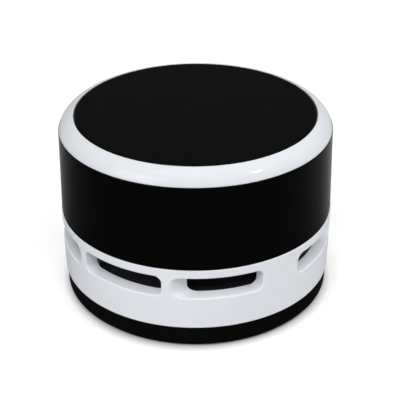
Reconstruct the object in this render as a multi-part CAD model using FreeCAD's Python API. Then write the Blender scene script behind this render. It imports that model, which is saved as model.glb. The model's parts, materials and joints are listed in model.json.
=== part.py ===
import FreeCAD, Part
import math
import os

from FreeCAD import Vector

# Desktop mini vacuum cleaner: a round crumb sweeper that stands on the desk and runs on two AA cells.
# The origin is the middle of the resting rim, on the desk. +Z is up, -Y is the front, +Y has the power switch.
# From below: dust cup with the suction mouth, filter, fan chamber with the vents, motor and batteries, lid.
# All sizes are in millimetres and all angles in degrees.

# Heights of the dust cup and the lid. The shells between them are as high as what they hold.
CUP_HEIGHT = 7.6
LID_HEIGHT = 4.4

# How the outer radii of the shells step and taper, from the bore that holds the battery tray
TRAY_ROOM = 1.35
HOUSING_WALL = 2.2
BAND_DRAFT = 0.5
VENT_STEP = 0.2
VENT_DRAFT = 0.35
CUP_STEP = 0.45
CUP_EDGE_INSET = 1.7
LID_INSET = 0.1
LID_SHOULDER_WIDTH = 4.7

# Clearances and the overrun that every cut shares
PRESS_GAP = 0.03
RUNNING_GAP = 0.06
SEAT_GAP = 0.15
LOOSE_GAP = 0.3
OVERRUN = 1.0

# Dust cup
CUP_WALL = 1.5
CUP_FLOOR = 1.8
CUP_RECESS = 3.0
CUP_RIM_WIDTH = 2.4
CUP_EDGE_HEIGHT = 2.4
CUP_EDGE_RADIUS = 1.8
CUP_SPIGOT_HEIGHT = 5.8
MOUTH_LENGTH = 46.0
MOUTH_WIDTH = 8.6
DUCT_WALL = 1.4
DUCT_HEIGHT = 6.0

# Twist locks of the cup and of the lid
LUG_COUNT = 3
LUG_ANGLE = 14.0
LUG_REACH = 0.9
LUG_HEIGHT = 1.5
CUP_TWIST_ANGLE = 25.0
CUP_LUG_ANGLE = 20.0
CUP_LUG_RISE = 2.6
LID_TWIST_ANGLE = 20.0
LID_LUG_ANGLE = 25.0
LID_TAB_WALL = 1.6
LID_TAB_DROP = 3.4
LID_TAB_ANGLE = 26.0

# Brushes
BRUSH_LENGTH = 42.0
BRUSH_WIDTH = 3.0
BRUSH_THICKNESS = 1.1
BRUSH_PITCH = 19.0
TUFT_COUNT = 9
TUFT_RADIUS = 1.1
TUFT_SIDES = 6
TUFT_LIFT = 0.15

# Filter, which lies on the mouth of the cup
FILTER_THICKNESS = 1.2
FILTER_RING_WIDTH = 3.6
FILTER_BAR = 2.0
FILTER_BAR_THICKNESS = 0.5
FILTER_SCREEN = 0.5
FILTER_TAB_WIDTH = 12.0
FILTER_TAB_DROP = 1.6

# Vent ring with the outlet slots, pulled to both sides of the mould
VENT_WALL = 3.8
SLOTS_PER_HALF = 4
SLOT_ANGLE = 37.7
RIB_ANGLE = 3.7
SLOT_SILL = 0.8
SLOT_HEIGHT = 6.8
SLOT_CORNER = 2.3
DECK_LEDGE_REACH = 1.2
DECK_LEDGE_HEIGHT = 0.9

# Fan chamber
POST_REACH = 6.7
POST_HALF = 2.5
POST_BORE = 1.5
FILTER_HEADROOM = 0.1
SHROUD_THICKNESS = 1.4
SHROUD_EYE_RADIUS = 12.5
DECK_THICKNESS = 1.8
FAN_RADIUS = 28.0
FAN_PLATE = 1.2
FAN_GAP_BELOW = 0.9
FAN_BLADE_HEIGHT = 4.2
FAN_BLADE_COUNT = 8
FAN_BLADE_THICKNESS = 1.1
FAN_BLADE_START = 9.5
FAN_BLADE_CURL = 1.3
FAN_BLADE_SWEEP_ANGLE = 42.0
FAN_HUB_RADIUS = 3.6
FAN_HUB_RISE = 1.0
FAN_GAP_ABOVE = 2.3

# Motor of the flat-sided 130 size, upright with its shaft down
MOTOR_RADIUS = 10.05
MOTOR_FLATS = 15.1
CAN_LENGTH = 22.4
CAN_WALL = 0.7
CAN_BOSS_RADIUS = 3.1
CAN_BOSS_LENGTH = 1.5
END_CAP_HEIGHT = 2.4
COMMUTATOR_GAP = 1.9
END_BOSS_LENGTH = 1.4
MOTOR_HEADROOM = 0.5
SHAFT_RADIUS = 1.0
BUSH_RADIUS = 2.3
BUSH_LENGTH = 2.2
MAGNET_THICKNESS = 2.1
MAGNET_LENGTH = 14.0
AIR_GAP = 0.4
CORE_LENGTH = 10.0
CORE_RISE = 6.0
CORE_HUB_RADIUS = 2.2
POLE_COUNT = 3
POLE_ANGLE = 96.0
POLE_THICKNESS = 1.0
ARM_WIDTH = 1.8
COIL_WIDTH = 4.4
COIL_OVERHANG = 1.4
COIL_INSET = 0.7
COMMUTATOR_RADIUS = 2.2
COMMUTATOR_LENGTH = 3.6
COMMUTATOR_SLIT = 0.4
BRUSH_LEAF = 0.3
BRUSH_LEAF_WIDTH = 2.4
TERMINAL_WIDTH = 2.0
TERMINAL_THICKNESS = 0.4
TERMINAL_LENGTH = 4.4
TERMINAL_OFFSET = 6.2
MOTOR_RIB_LENGTH = 11.0
MOTOR_RIB_HEIGHT = 3.2
MOTOR_SCREW_OFFSET = 6.6

# Bosses of the main housing
BOSS_HEIGHT = 9.8
BOSS_HALF = 3.0
BOSS_BORE = 1.1

# Slide switch at the rear
SWITCH_RISE = 13.6
RECESS_WIDTH = 18.0
RECESS_HEIGHT = 9.6
RECESS_DEPTH = 1.9
RECESS_CORNER = 2.0
RECESS_PAD = 1.8
KNOB_WIDTH = 7.2
KNOB_HEIGHT = 5.6
KNOB_THICKNESS = 1.3
KNOB_RIDGES = 4
KNOB_RIDGE = 0.35
STEM_WIDTH = 3.4
STEM_HEIGHT = 2.4
SWITCH_TRAVEL = 3.0
SWITCH_LENGTH = 12.4
SWITCH_HEIGHT = 5.8
SWITCH_DEPTH = 5.2
SWITCH_WALL = 0.8
CRADLE_WALL = 1.2
PIN_WIDTH = 1.2
PIN_THICKNESS = 0.5
PIN_LENGTH = 2.6
PIN_COUNT = 3
PIN_PITCH = 3.2

# Batteries, their tray and contacts
CELL_RADIUS = 7.25
CELL_LENGTH = 50.5
CELL_BUTTON_RADIUS = 2.75
CELL_BUTTON_LENGTH = 1.2
CELL_HEADROOM = 0.8
TRAY_FLOOR = 1.4
TRAY_WALL = 1.0
TRAY_END_WALL = 1.4
TRAY_EAR_WIDTH = 9.0
TRAY_CUTOUT = 31.0
SADDLE_PITCH = 32.0
SADDLE_WIDTH = 1.2
SADDLE_HEIGHT = 3.6
CONTACT_THICKNESS = 0.4
CONTACT_WIDTH = 9.0
CONTACT_HEIGHT = 8.0
SPRING_REACH = 5.2
SPRING_LEAF = 0.3
SPRING_WIDTH = 4.5
SPRING_CREST = 3.0
TAB_WIDTH = 2.4
TAB_DROP = 2.0

# Lid
LID_WALL = 2.6
LID_DECK = 1.6
LID_BULGE = 0.8
TOP_PLATE_THICKNESS = 1.2
TOP_PLATE_BEVEL = 0.35
PAD_LENGTH = 40.0
PAD_WIDTH = 9.0
PAD_THICKNESS = 1.6

# Screws
CASE_SCREW_RADIUS = 1.2
CASE_SCREW_GRIP = 5.4
SCREW_HEAD_RADIUS = 2.2
SCREW_HEAD_HEIGHT = 1.3
MOTOR_SCREW_RADIUS = 0.9
MOTOR_SCREW_HEAD = 1.7
TRAY_SCREW_LENGTH = 5.0

# Hookup wires inside the housing
WIRE_RADIUS = 0.65
WIRE_SIDES = 6
WIRE_LOW_RISE = 2.0
WIRE_HIGH_RISE = 4.4
WIRE_STANDOFF = 3.2
BEND_SHARE = 0.45

# Offsets of the battery bays from the middle
CELL_OFFSET = MOTOR_FLATS / 2 + LOOSE_GAP + TRAY_WALL + LOOSE_GAP + CELL_RADIUS
BAY_HALF = (CONTACT_THICKNESS + CELL_LENGTH + SPRING_REACH + CONTACT_THICKNESS) / 2
BAY_INNER = CELL_OFFSET - CELL_RADIUS - LOOSE_GAP
BAY_OUTER = CELL_OFFSET + CELL_RADIUS + LOOSE_GAP
TRAY_HALF_LENGTH = BAY_HALF + TRAY_END_WALL
TRAY_HALF_WIDTH = BAY_OUTER + TRAY_WALL

# Radii of the shells
HOUSING_INNER = math.hypot(TRAY_HALF_LENGTH, TRAY_HALF_WIDTH) + TRAY_ROOM
BAND_TOP_RADIUS = HOUSING_INNER + HOUSING_WALL
BAND_FOOT_RADIUS = BAND_TOP_RADIUS + BAND_DRAFT
VENT_TOP_RADIUS = BAND_FOOT_RADIUS + VENT_STEP
VENT_FOOT_RADIUS = VENT_TOP_RADIUS - VENT_DRAFT
VENT_INNER = VENT_FOOT_RADIUS - VENT_WALL
CUP_RADIUS = VENT_FOOT_RADIUS - CUP_STEP
CUP_RIM_RADIUS = CUP_RADIUS - CUP_EDGE_INSET
SPIGOT_RADIUS = VENT_INNER - LOOSE_GAP
CUP_INNER = SPIGOT_RADIUS - CUP_WALL
POST_OFFSET = VENT_TOP_RADIUS - POST_REACH
LID_RADIUS = BAND_TOP_RADIUS - LID_INSET
TOP_PLATE_RADIUS = LID_RADIUS - LID_SHOULDER_WIDTH
RECESS_FACE = BAND_FOOT_RADIUS - RECESS_DEPTH
SWITCH_FACE = RECESS_FACE - RECESS_PAD

# Levels, from the desk up
CUP_FLOOR_TOP = CUP_RECESS + CUP_FLOOR
CUP_MOUTH = CUP_HEIGHT + CUP_SPIGOT_HEIGHT
SHROUD_BOTTOM = CUP_MOUTH + FILTER_THICKNESS + FILTER_HEADROOM + SCREW_HEAD_HEIGHT
SHROUD_TOP = SHROUD_BOTTOM + SHROUD_THICKNESS
SLOT_BOTTOM = SHROUD_TOP + SLOT_SILL
FAN_BOTTOM = SHROUD_TOP + FAN_GAP_BELOW
FAN_PLATE_BOTTOM = FAN_BOTTOM + FAN_BLADE_HEIGHT
FAN_PLATE_TOP = FAN_PLATE_BOTTOM + FAN_PLATE
DECK_BOTTOM = FAN_PLATE_TOP + FAN_GAP_ABOVE
DECK_TOP = DECK_BOTTOM + DECK_THICKNESS
CAN_TOP = DECK_TOP + CAN_LENGTH
END_CAP_TOP = CAN_TOP + END_CAP_HEIGHT
BOSS_TOP = DECK_TOP + BOSS_HEIGHT
TRAY_TOP = BOSS_TOP + TRAY_FLOOR
CELL_AXIS = TRAY_TOP + LOOSE_GAP + CELL_RADIUS
VENT_BOTTOM = CUP_HEIGHT
BAND_BOTTOM = DECK_TOP
LID_BOTTOM = max(CELL_AXIS + CELL_RADIUS + CELL_HEADROOM, END_CAP_TOP + END_BOSS_LENGTH + MOTOR_HEADROOM)
TOTAL_HEIGHT = LID_BOTTOM + LID_HEIGHT
LID_DECK_TOP = TOTAL_HEIGHT - TOP_PLATE_THICKNESS
LID_DECK_BOTTOM = LID_DECK_TOP - LID_DECK
SWITCH_LEVEL = BAND_BOTTOM + SWITCH_RISE

FULL_TURN_ANGLE = 360.0
CENTRE = Vector(0, 0, 0)
UP = Vector(0, 0, 1)
DOWN = Vector(0, 0, -1)


def cylinder(radius, bottom, top, x=0.0, y=0.0):
    return Part.makeCylinder(radius, top - bottom, Vector(x, y, bottom))


def tube(outer, inner, bottom, top):
    return cylinder(outer, bottom, top).cut(cylinder(inner, bottom, top))


def block(x0, x1, y0, y1, z0, z1):
    return Part.makeBox(x1 - x0, y1 - y0, z1 - z0, Vector(x0, y0, z0))


def bar(half_x, half_y, z0, z1, x=0.0, y=0.0):
    return block(x - half_x, x + half_x, y - half_y, y + half_y, z0, z1)


def turned(shape, angle):
    copy = shape.copy()
    copy.rotate(CENTRE, UP, angle)
    return copy


def around(shape, count, start=0.0):
    return [turned(shape, start + FULL_TURN_ANGLE * step / count) for step in range(count)]


def sector(outer, inner, bottom, top, start, span):
    """A piece of a ring that runs counter-clockwise from the angle start."""
    wedge = Part.makeCylinder(outer, top - bottom, Vector(0, 0, bottom), UP, span)
    return turned(wedge.cut(cylinder(inner, bottom, top)), start)


def revolved(edges):
    return Part.Face(Part.Wire(Part.__sortEdges__(edges))).revolve(CENTRE, UP, FULL_TURN_ANGLE)


def profile(points):
    """Straight edges through the given radius and height pairs, as points in the XZ plane."""
    places = [Vector(radius, 0, height) for radius, height in points]
    return [Part.LineSegment(a, b).toShape() for a, b in zip(places, places[1:])]


def eased(wall, level, ease, end):
    """An upright wall's edge, rounded by an arc of radius ease from the level and then straight to end."""
    middle = Vector(wall - ease, 0, level)
    run = Vector(end[0], 0, end[1]) - middle
    sense = math.copysign(1, run.z)
    turn = sense * (math.atan2(abs(run.z), run.x) - math.acos(ease / run.Length))
    places = [middle + Vector(math.cos(angle), 0, math.sin(angle)) * ease for angle in (0, turn / 2, turn)]
    return [Part.Arc(*places).toShape(), Part.LineSegment(places[-1], middle + run).toShape()]


def rounded_bar(length, width, bottom, top):
    """A slot form along X with round ends."""
    half = (length - width) / 2
    ends = [cylinder(width / 2, bottom, top, x) for x in (-half, half)]
    return bar(half, width / 2, bottom, top).fuse(ends).removeSplitter()


def wall_angle(gap, radius):
    return math.degrees(gap / radius)


def twist_lug(radius, bottom, start):
    return sector(radius + LUG_REACH, radius - LID_TAB_WALL / 2, bottom, bottom + LUG_HEIGHT, start, LUG_ANGLE)


def twist_groove(wall_inner, lug_tip, bottom, start, twist, entry_bottom, entry_top):
    """The L-shaped groove that a lug enters straight and then locks in by the twist."""
    outer = lug_tip + LOOSE_GAP
    inner = wall_inner - OVERRUN
    slack = wall_angle(LOOSE_GAP, lug_tip)
    low = bottom - SEAT_GAP
    high = bottom + LUG_HEIGHT + SEAT_GAP
    run = sector(outer, inner, low, high, start - slack, LUG_ANGLE + twist + 2 * slack)
    entry = sector(outer, inner, entry_bottom, entry_top, start + twist - slack, LUG_ANGLE + 2 * slack)
    return run.fuse(entry)


def tapered_shell(foot_radius, top_radius, inner, bottom, top):
    points = [(inner, bottom), (foot_radius, bottom), (top_radius, top), (inner, top), (inner, bottom)]
    return revolved(profile(points))


def cup_lug_level():
    return CUP_HEIGHT + CUP_LUG_RISE


def base_cup():
    foot = (CUP_RIM_RADIUS, 0)
    rim_inner = CUP_RIM_RADIUS - CUP_RIM_WIDTH
    edges = profile([(0, CUP_RECESS), (rim_inner, CUP_RECESS), (rim_inner, 0), foot])
    edges += eased(CUP_RADIUS, CUP_EDGE_HEIGHT, CUP_EDGE_RADIUS, foot)
    edges += profile([(CUP_RADIUS, CUP_EDGE_HEIGHT), (CUP_RADIUS, CUP_HEIGHT), (SPIGOT_RADIUS, CUP_HEIGHT),
                      (SPIGOT_RADIUS, CUP_MOUTH), (CUP_INNER, CUP_MOUTH), (CUP_INNER, CUP_FLOOR_TOP),
                      (0, CUP_FLOOR_TOP), (0, CUP_RECESS)])
    cup = revolved(edges)
    duct_top = CUP_FLOOR_TOP + DUCT_HEIGHT
    duct = rounded_bar(MOUTH_LENGTH + 2 * DUCT_WALL, MOUTH_WIDTH + 2 * DUCT_WALL, CUP_RECESS, duct_top)
    lug = twist_lug(SPIGOT_RADIUS, cup_lug_level(), CUP_LUG_ANGLE)
    cup = cup.fuse([duct] + around(lug, LUG_COUNT))
    mouth = rounded_bar(MOUTH_LENGTH, MOUTH_WIDTH, -OVERRUN, duct_top + OVERRUN)
    seat_length = BRUSH_LENGTH / 2 + SEAT_GAP
    seat_width = BRUSH_WIDTH / 2 + SEAT_GAP
    seats = [bar(seat_length, seat_width, 0, CUP_RECESS + BRUSH_THICKNESS, 0, y)
             for y in (-BRUSH_PITCH / 2, BRUSH_PITCH / 2)]
    return cup.cut([mouth] + seats).removeSplitter()


def tuft(x, y):
    """One hexagonal bundle of bristles, down to a hair above the desk."""
    corners = [Vector(x + TUFT_RADIUS * math.cos(2 * math.pi * side / TUFT_SIDES),
                      y + TUFT_RADIUS * math.sin(2 * math.pi * side / TUFT_SIDES), TUFT_LIFT)
               for side in range(TUFT_SIDES)]
    return Part.Face(Part.makePolygon(corners + corners[:1])).extrude(Vector(0, 0, CUP_RECESS - TUFT_LIFT))


def brush(side):
    y = side * BRUSH_PITCH / 2
    strip = bar(BRUSH_LENGTH / 2, BRUSH_WIDTH / 2, CUP_RECESS, CUP_RECESS + BRUSH_THICKNESS, 0, y)
    spread = BRUSH_LENGTH - 2 * TUFT_RADIUS
    tufts = [tuft(spread * (step / (TUFT_COUNT - 1) - 1 / 2), y) for step in range(TUFT_COUNT)]
    return strip.fuse(tufts)


def filter_frame():
    inner = SPIGOT_RADIUS - FILTER_RING_WIDTH
    ring = tube(SPIGOT_RADIUS, inner, CUP_MOUTH, CUP_MOUTH + FILTER_THICKNESS)
    bar_top = CUP_MOUTH + FILTER_BAR_THICKNESS
    reach = inner + FILTER_RING_WIDTH / 2
    bars = [bar(reach, FILTER_BAR / 2, CUP_MOUTH, bar_top), bar(FILTER_BAR / 2, reach, CUP_MOUTH, bar_top)]
    tab = bar(FILTER_TAB_WIDTH / 2, FILTER_BAR / 2, CUP_MOUTH - FILTER_TAB_DROP, CUP_MOUTH)
    return ring.fuse(bars + [tab]).removeSplitter()


def filter_screen():
    bottom = CUP_MOUTH + FILTER_BAR_THICKNESS
    return cylinder(SPIGOT_RADIUS - FILTER_RING_WIDTH - PRESS_GAP, bottom, bottom + FILTER_SCREEN)


def slot_cutter(middle):
    """One outlet slot. Its wall next to the pull direction is parallel to X and the other one is radial."""
    near = math.radians(middle - SLOT_ANGLE / 2)
    far = math.radians(middle + SLOT_ANGLE / 2)
    wall_y = VENT_TOP_RADIUS * math.sin(near)
    inner = VENT_INNER - OVERRUN
    outer = (VENT_TOP_RADIUS + OVERRUN) / math.cos((far - near) / 2)
    corners = [Vector(math.sqrt(inner ** 2 - wall_y ** 2), wall_y, SLOT_BOTTOM),
               Vector(math.sqrt(outer ** 2 - wall_y ** 2), wall_y, SLOT_BOTTOM),
               Vector(outer * math.cos(far), outer * math.sin(far), SLOT_BOTTOM),
               Vector(inner * math.cos(far), inner * math.sin(far), SLOT_BOTTOM)]
    plan = Part.Face(Part.makePolygon(corners + corners[:1]))
    cutter = plan.extrude(Vector(0, 0, SLOT_HEIGHT))
    return cutter.makeFillet(SLOT_CORNER, [edge for edge in cutter.Edges if runs_inwards(edge)])


def runs_inwards(edge):
    """True for a level edge whose two ends lie at clearly different distances from the Z axis."""
    first, last = [vertex.Point for vertex in edge.Vertexes]
    change = abs(math.hypot(first.x, first.y) - math.hypot(last.x, last.y))
    return abs(first.z - last.z) < PRESS_GAP and change > OVERRUN


def slot_middles():
    """Angles of the slots of one half, measured from its pull direction."""
    pitch = SLOT_ANGLE + RIB_ANGLE
    return [pitch * (step + 1 / 2) for step in range(SLOTS_PER_HALF // 2)]


def slots():
    half = []
    for middle in slot_middles():
        cutter = slot_cutter(middle)
        half += [cutter, cutter.mirror(CENTRE, Vector(0, 1, 0))]
    return half + [turned(cutter, FULL_TURN_ANGLE / 2) for cutter in half]


def post_places():
    return (-POST_OFFSET, POST_OFFSET)


def vent_ring():
    """The slotted ring. The motor deck rests on its ledge, which leaves room for the deck's two posts."""
    ring = tapered_shell(VENT_FOOT_RADIUS, VENT_TOP_RADIUS, VENT_INNER, VENT_BOTTOM, BAND_BOTTOM).cut(slots())
    ledge_bottom = DECK_BOTTOM - DECK_LEDGE_HEIGHT
    ledge = tube(VENT_INNER + OVERRUN, VENT_INNER - DECK_LEDGE_REACH, ledge_bottom, DECK_BOTTOM)
    ledge = ledge.cut(bar(VENT_TOP_RADIUS, POST_HALF + SEAT_GAP, ledge_bottom, DECK_BOTTOM))
    lug_tip = SPIGOT_RADIUS + LUG_REACH
    groove = twist_groove(VENT_INNER, lug_tip, cup_lug_level(), CUP_LUG_ANGLE, CUP_TWIST_ANGLE,
                          VENT_BOTTOM - OVERRUN, cup_lug_level() + LUG_HEIGHT + SEAT_GAP)
    return ring.fuse(ledge).cut(around(groove, LUG_COUNT)).removeSplitter()


def fan_shroud():
    plate = tube(VENT_INNER - SEAT_GAP, SHROUD_EYE_RADIUS, SHROUD_BOTTOM, SHROUD_TOP)
    holes = [cylinder(POST_BORE, SHROUD_BOTTOM - OVERRUN, SHROUD_TOP + OVERRUN, x) for x in post_places()]
    return plate.cut(holes)


def motor_screw_places():
    return (-MOTOR_SCREW_OFFSET, MOTOR_SCREW_OFFSET)


def motor_deck():
    """The plate that carries the motor, with the ribs beside it and the two posts down to the shroud."""
    rim = VENT_INNER - SEAT_GAP
    deck = cylinder(rim, DECK_BOTTOM, DECK_TOP)
    near = MOTOR_FLATS / 2 + SEAT_GAP
    rib = block(-MOTOR_RIB_LENGTH / 2, MOTOR_RIB_LENGTH / 2, near, near + TRAY_WALL, DECK_TOP,
                DECK_TOP + MOTOR_RIB_HEIGHT)
    posts = bar(rim, POST_HALF, SHROUD_TOP, DECK_BOTTOM).common(
        tube(rim, POST_OFFSET - POST_HALF, SHROUD_TOP, DECK_BOTTOM))
    deck = deck.fuse([rib, turned(rib, FULL_TURN_ANGLE / 2), posts])
    low = DECK_BOTTOM - OVERRUN
    high = DECK_TOP + OVERRUN
    holes = [cylinder(CAN_BOSS_RADIUS + SEAT_GAP, low, high)]
    holes += [cylinder(POST_BORE, SHROUD_TOP - OVERRUN, high, x) for x in post_places()]
    holes += [cylinder(MOTOR_SCREW_RADIUS + SEAT_GAP, low, high, x) for x in motor_screw_places()]
    return deck.cut(holes).removeSplitter()


def fan_blade(bottom, top):
    """A backward-curved blade: two arcs through points that lag further as the radius grows."""
    sides = []
    for side in (-1, 1):
        places = []
        for share in (0, 1 / 2, 1):
            radius = FAN_BLADE_START + share * (FAN_RADIUS - FAN_BLADE_START)
            angle = -math.radians(FAN_BLADE_SWEEP_ANGLE) * share ** FAN_BLADE_CURL
            angle += side * FAN_BLADE_THICKNESS / (2 * radius)
            places.append(Vector(radius * math.cos(angle), radius * math.sin(angle), bottom))
        sides.append(places)
    right, left = sides
    edges = [Part.Arc(*right).toShape(), Part.LineSegment(right[2], left[2]).toShape(),
             Part.Arc(*left).toShape(), Part.LineSegment(left[0], right[0]).toShape()]
    return Part.Face(Part.Wire(Part.__sortEdges__(edges))).extrude(Vector(0, 0, top - bottom))


def impeller():
    hub_top = FAN_PLATE_TOP + FAN_HUB_RISE
    fan = cylinder(FAN_RADIUS, FAN_PLATE_BOTTOM, FAN_PLATE_TOP)
    hub = cylinder(FAN_HUB_RADIUS, FAN_BOTTOM, hub_top)
    blade = fan_blade(FAN_BOTTOM, FAN_PLATE_BOTTOM + FAN_PLATE / 2)
    fan = fan.fuse([hub] + around(blade, FAN_BLADE_COUNT))
    bore = cylinder(SHAFT_RADIUS + PRESS_GAP, FAN_BOTTOM - OVERRUN, hub_top + OVERRUN)
    return fan.cut(bore).removeSplitter()


def motor_form(shrink, bottom, top):
    """The flat-sided round of the motor, drawn in by the given amount."""
    radius = MOTOR_RADIUS - shrink
    return cylinder(radius, bottom, top).common(bar(radius, MOTOR_FLATS / 2 - shrink, bottom, top))


def motor_can():
    can = motor_form(0, DECK_TOP, CAN_TOP)
    can = can.fuse(cylinder(CAN_BOSS_RADIUS, DECK_TOP - CAN_BOSS_LENGTH, DECK_TOP + CAN_WALL))
    can = can.cut(motor_form(CAN_WALL, DECK_TOP + CAN_WALL, CAN_TOP + OVERRUN))
    low = DECK_TOP - CAN_BOSS_LENGTH - OVERRUN
    holes = [cylinder(BUSH_RADIUS + PRESS_GAP, low, DECK_TOP + CAN_WALL + OVERRUN)]
    holes += [cylinder(MOTOR_SCREW_RADIUS + PRESS_GAP, low, DECK_TOP + CAN_WALL + OVERRUN, x)
              for x in motor_screw_places()]
    return can.cut(holes)


def core_level():
    return DECK_TOP + CORE_RISE


def magnet_outer():
    return MOTOR_RADIUS - CAN_WALL - PRESS_GAP


def armature_radius():
    return magnet_outer() - MAGNET_THICKNESS - AIR_GAP


def motor_magnets():
    outer = magnet_outer()
    bottom = core_level() - (MAGNET_LENGTH - CORE_LENGTH) / 2
    ring = tube(outer, outer - MAGNET_THICKNESS, bottom, bottom + MAGNET_LENGTH)
    half = MOTOR_FLATS / 2 - CAN_WALL - LOOSE_GAP
    magnet = ring.common(block(0, outer, -half, half, bottom, bottom + MAGNET_LENGTH))
    return Part.makeCompound([magnet, turned(magnet, FULL_TURN_ANGLE / 2)])


def armature_core():
    bottom = core_level()
    top = bottom + CORE_LENGTH
    outer = armature_radius()
    hub = cylinder(CORE_HUB_RADIUS, bottom, top)
    arm = block(0, outer - POLE_THICKNESS / 2, -ARM_WIDTH / 2, ARM_WIDTH / 2, bottom, top)
    shoe = sector(outer, outer - POLE_THICKNESS, bottom, top, -POLE_ANGLE / 2, POLE_ANGLE)
    core = hub.fuse(around(arm, POLE_COUNT) + around(shoe, POLE_COUNT))
    return core.cut(cylinder(SHAFT_RADIUS + PRESS_GAP, bottom, top)).removeSplitter()


def armature_coils():
    bottom = core_level()
    top = bottom + CORE_LENGTH
    inner = CORE_HUB_RADIUS + COIL_INSET
    outer = armature_radius() - POLE_THICKNESS - COIL_INSET
    coil = block(inner, outer, -COIL_WIDTH / 2, COIL_WIDTH / 2, bottom - COIL_OVERHANG, top + COIL_OVERHANG)
    arm = block(0, armature_radius(), -ARM_WIDTH / 2 - PRESS_GAP, ARM_WIDTH / 2 + PRESS_GAP,
                bottom - PRESS_GAP, top + PRESS_GAP)
    return Part.makeCompound(around(coil.cut(arm), POLE_COUNT))


def commutator_bottom():
    return CAN_TOP - COMMUTATOR_GAP - COMMUTATOR_LENGTH


def commutator():
    bottom = commutator_bottom()
    top = bottom + COMMUTATOR_LENGTH
    drum = tube(COMMUTATOR_RADIUS, SHAFT_RADIUS + PRESS_GAP, bottom, top)
    slit = block(COMMUTATOR_RADIUS - COMMUTATOR_SLIT, COMMUTATOR_RADIUS + OVERRUN, -COMMUTATOR_SLIT / 2,
                 COMMUTATOR_SLIT / 2, bottom, top)
    return drum.cut(around(slit, POLE_COUNT))


def motor_shaft():
    return cylinder(SHAFT_RADIUS, FAN_BOTTOM, END_CAP_TOP + END_BOSS_LENGTH / 2)


def motor_end_cap():
    cap = motor_form(0, CAN_TOP, END_CAP_TOP)
    boss = cylinder(CAN_BOSS_RADIUS, END_CAP_TOP, END_CAP_TOP + END_BOSS_LENGTH)
    bore = cylinder(BUSH_RADIUS + PRESS_GAP, CAN_TOP, END_CAP_TOP + END_BOSS_LENGTH)
    return cap.fuse(boss).cut(bore)


def bush(bottom):
    return tube(BUSH_RADIUS, SHAFT_RADIUS + RUNNING_GAP, bottom, bottom + BUSH_LENGTH)


def motor_brushes():
    inner = COMMUTATOR_RADIUS + RUNNING_GAP
    half = BRUSH_LEAF_WIDTH / 2
    leaf = block(inner, inner + BRUSH_LEAF, -half, half, commutator_bottom(), CAN_TOP)
    return Part.makeCompound([leaf, turned(leaf, FULL_TURN_ANGLE / 2)])


def motor_terminals():
    tab = bar(TERMINAL_LENGTH / 2, TERMINAL_WIDTH / 2, END_CAP_TOP, END_CAP_TOP + TERMINAL_THICKNESS,
              TERMINAL_OFFSET + TERMINAL_LENGTH / 2)
    return Part.makeCompound([tab, turned(tab, FULL_TURN_ANGLE / 2)])


def switch_opening(grow, y0, y1):
    """The way of the switch stem through a wall, over its whole travel."""
    half_x = (STEM_WIDTH + SWITCH_TRAVEL) / 2 + grow
    half_z = STEM_HEIGHT / 2 + grow
    return block(-half_x, half_x, y0, y1, SWITCH_LEVEL - half_z, SWITCH_LEVEL + half_z)


def switch_recess():
    half_x = RECESS_WIDTH / 2
    half_z = RECESS_HEIGHT / 2
    outer = BAND_FOOT_RADIUS + OVERRUN
    cut = block(-half_x, half_x, RECESS_FACE, outer, SWITCH_LEVEL - half_z, SWITCH_LEVEL + half_z)
    corners = [edge for edge in cut.Edges if abs(edge.tangentAt(edge.FirstParameter).y) > 1 / 2]
    return cut.makeFillet(RECESS_CORNER, corners)


def main_housing():
    shell = tapered_shell(BAND_FOOT_RADIUS, BAND_TOP_RADIUS, HOUSING_INNER, BAND_BOTTOM, LID_BOTTOM)
    pad_half_x = RECESS_WIDTH / 2 + TRAY_WALL
    pad_half_z = RECESS_HEIGHT / 2 + TRAY_WALL
    additions = [block(-pad_half_x, pad_half_x, SWITCH_FACE, HOUSING_INNER + HOUSING_WALL / 2,
                       SWITCH_LEVEL - pad_half_z, SWITCH_LEVEL + pad_half_z)]
    for side in (-1, 1):
        near = SWITCH_LEVEL + side * (SWITCH_HEIGHT / 2 + SEAT_GAP)
        far = near + side * CRADLE_WALL
        additions.append(block(-SWITCH_LENGTH / 2, SWITCH_LENGTH / 2, SWITCH_FACE - SWITCH_DEPTH, SWITCH_FACE,
                               min(near, far), max(near, far)))
    for x in post_places():
        near = x - math.copysign(BOSS_HALF, x)
        wall = math.copysign(HOUSING_INNER + HOUSING_WALL / 2, x)
        low, high = sorted((near, wall))
        additions.append(block(low, high, -BOSS_HALF, BOSS_HALF, BAND_BOTTOM, BOSS_TOP))
    lug_tip = lid_tab_radius() + LUG_REACH
    groove = twist_groove(HOUSING_INNER, lug_tip, lid_lug_level(), LID_LUG_ANGLE, LID_TWIST_ANGLE,
                          lid_lug_level() - SEAT_GAP, LID_BOTTOM + OVERRUN)
    cuts = [switch_recess(), switch_opening(LOOSE_GAP, SWITCH_FACE - OVERRUN, RECESS_FACE + OVERRUN)]
    cuts += around(groove, LUG_COUNT)
    cuts += [cylinder(BOSS_BORE, BAND_BOTTOM - OVERRUN, BOSS_TOP + OVERRUN, x) for x in post_places()]
    return shell.fuse(additions).cut(cuts).removeSplitter()


def switch_case():
    back = SWITCH_FACE - SWITCH_DEPTH
    half_x = SWITCH_LENGTH / 2
    low = SWITCH_LEVEL - SWITCH_HEIGHT / 2
    high = SWITCH_LEVEL + SWITCH_HEIGHT / 2
    case = block(-half_x, half_x, back, SWITCH_FACE, low, high)
    room = block(SWITCH_WALL - half_x, half_x - SWITCH_WALL, back + SWITCH_WALL, SWITCH_FACE - SWITCH_WALL,
                 low + SWITCH_WALL, high - SWITCH_WALL)
    return case.cut([room, switch_opening(LOOSE_GAP, SWITCH_FACE - SWITCH_DEPTH / 2, SWITCH_FACE + OVERRUN)])


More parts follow.
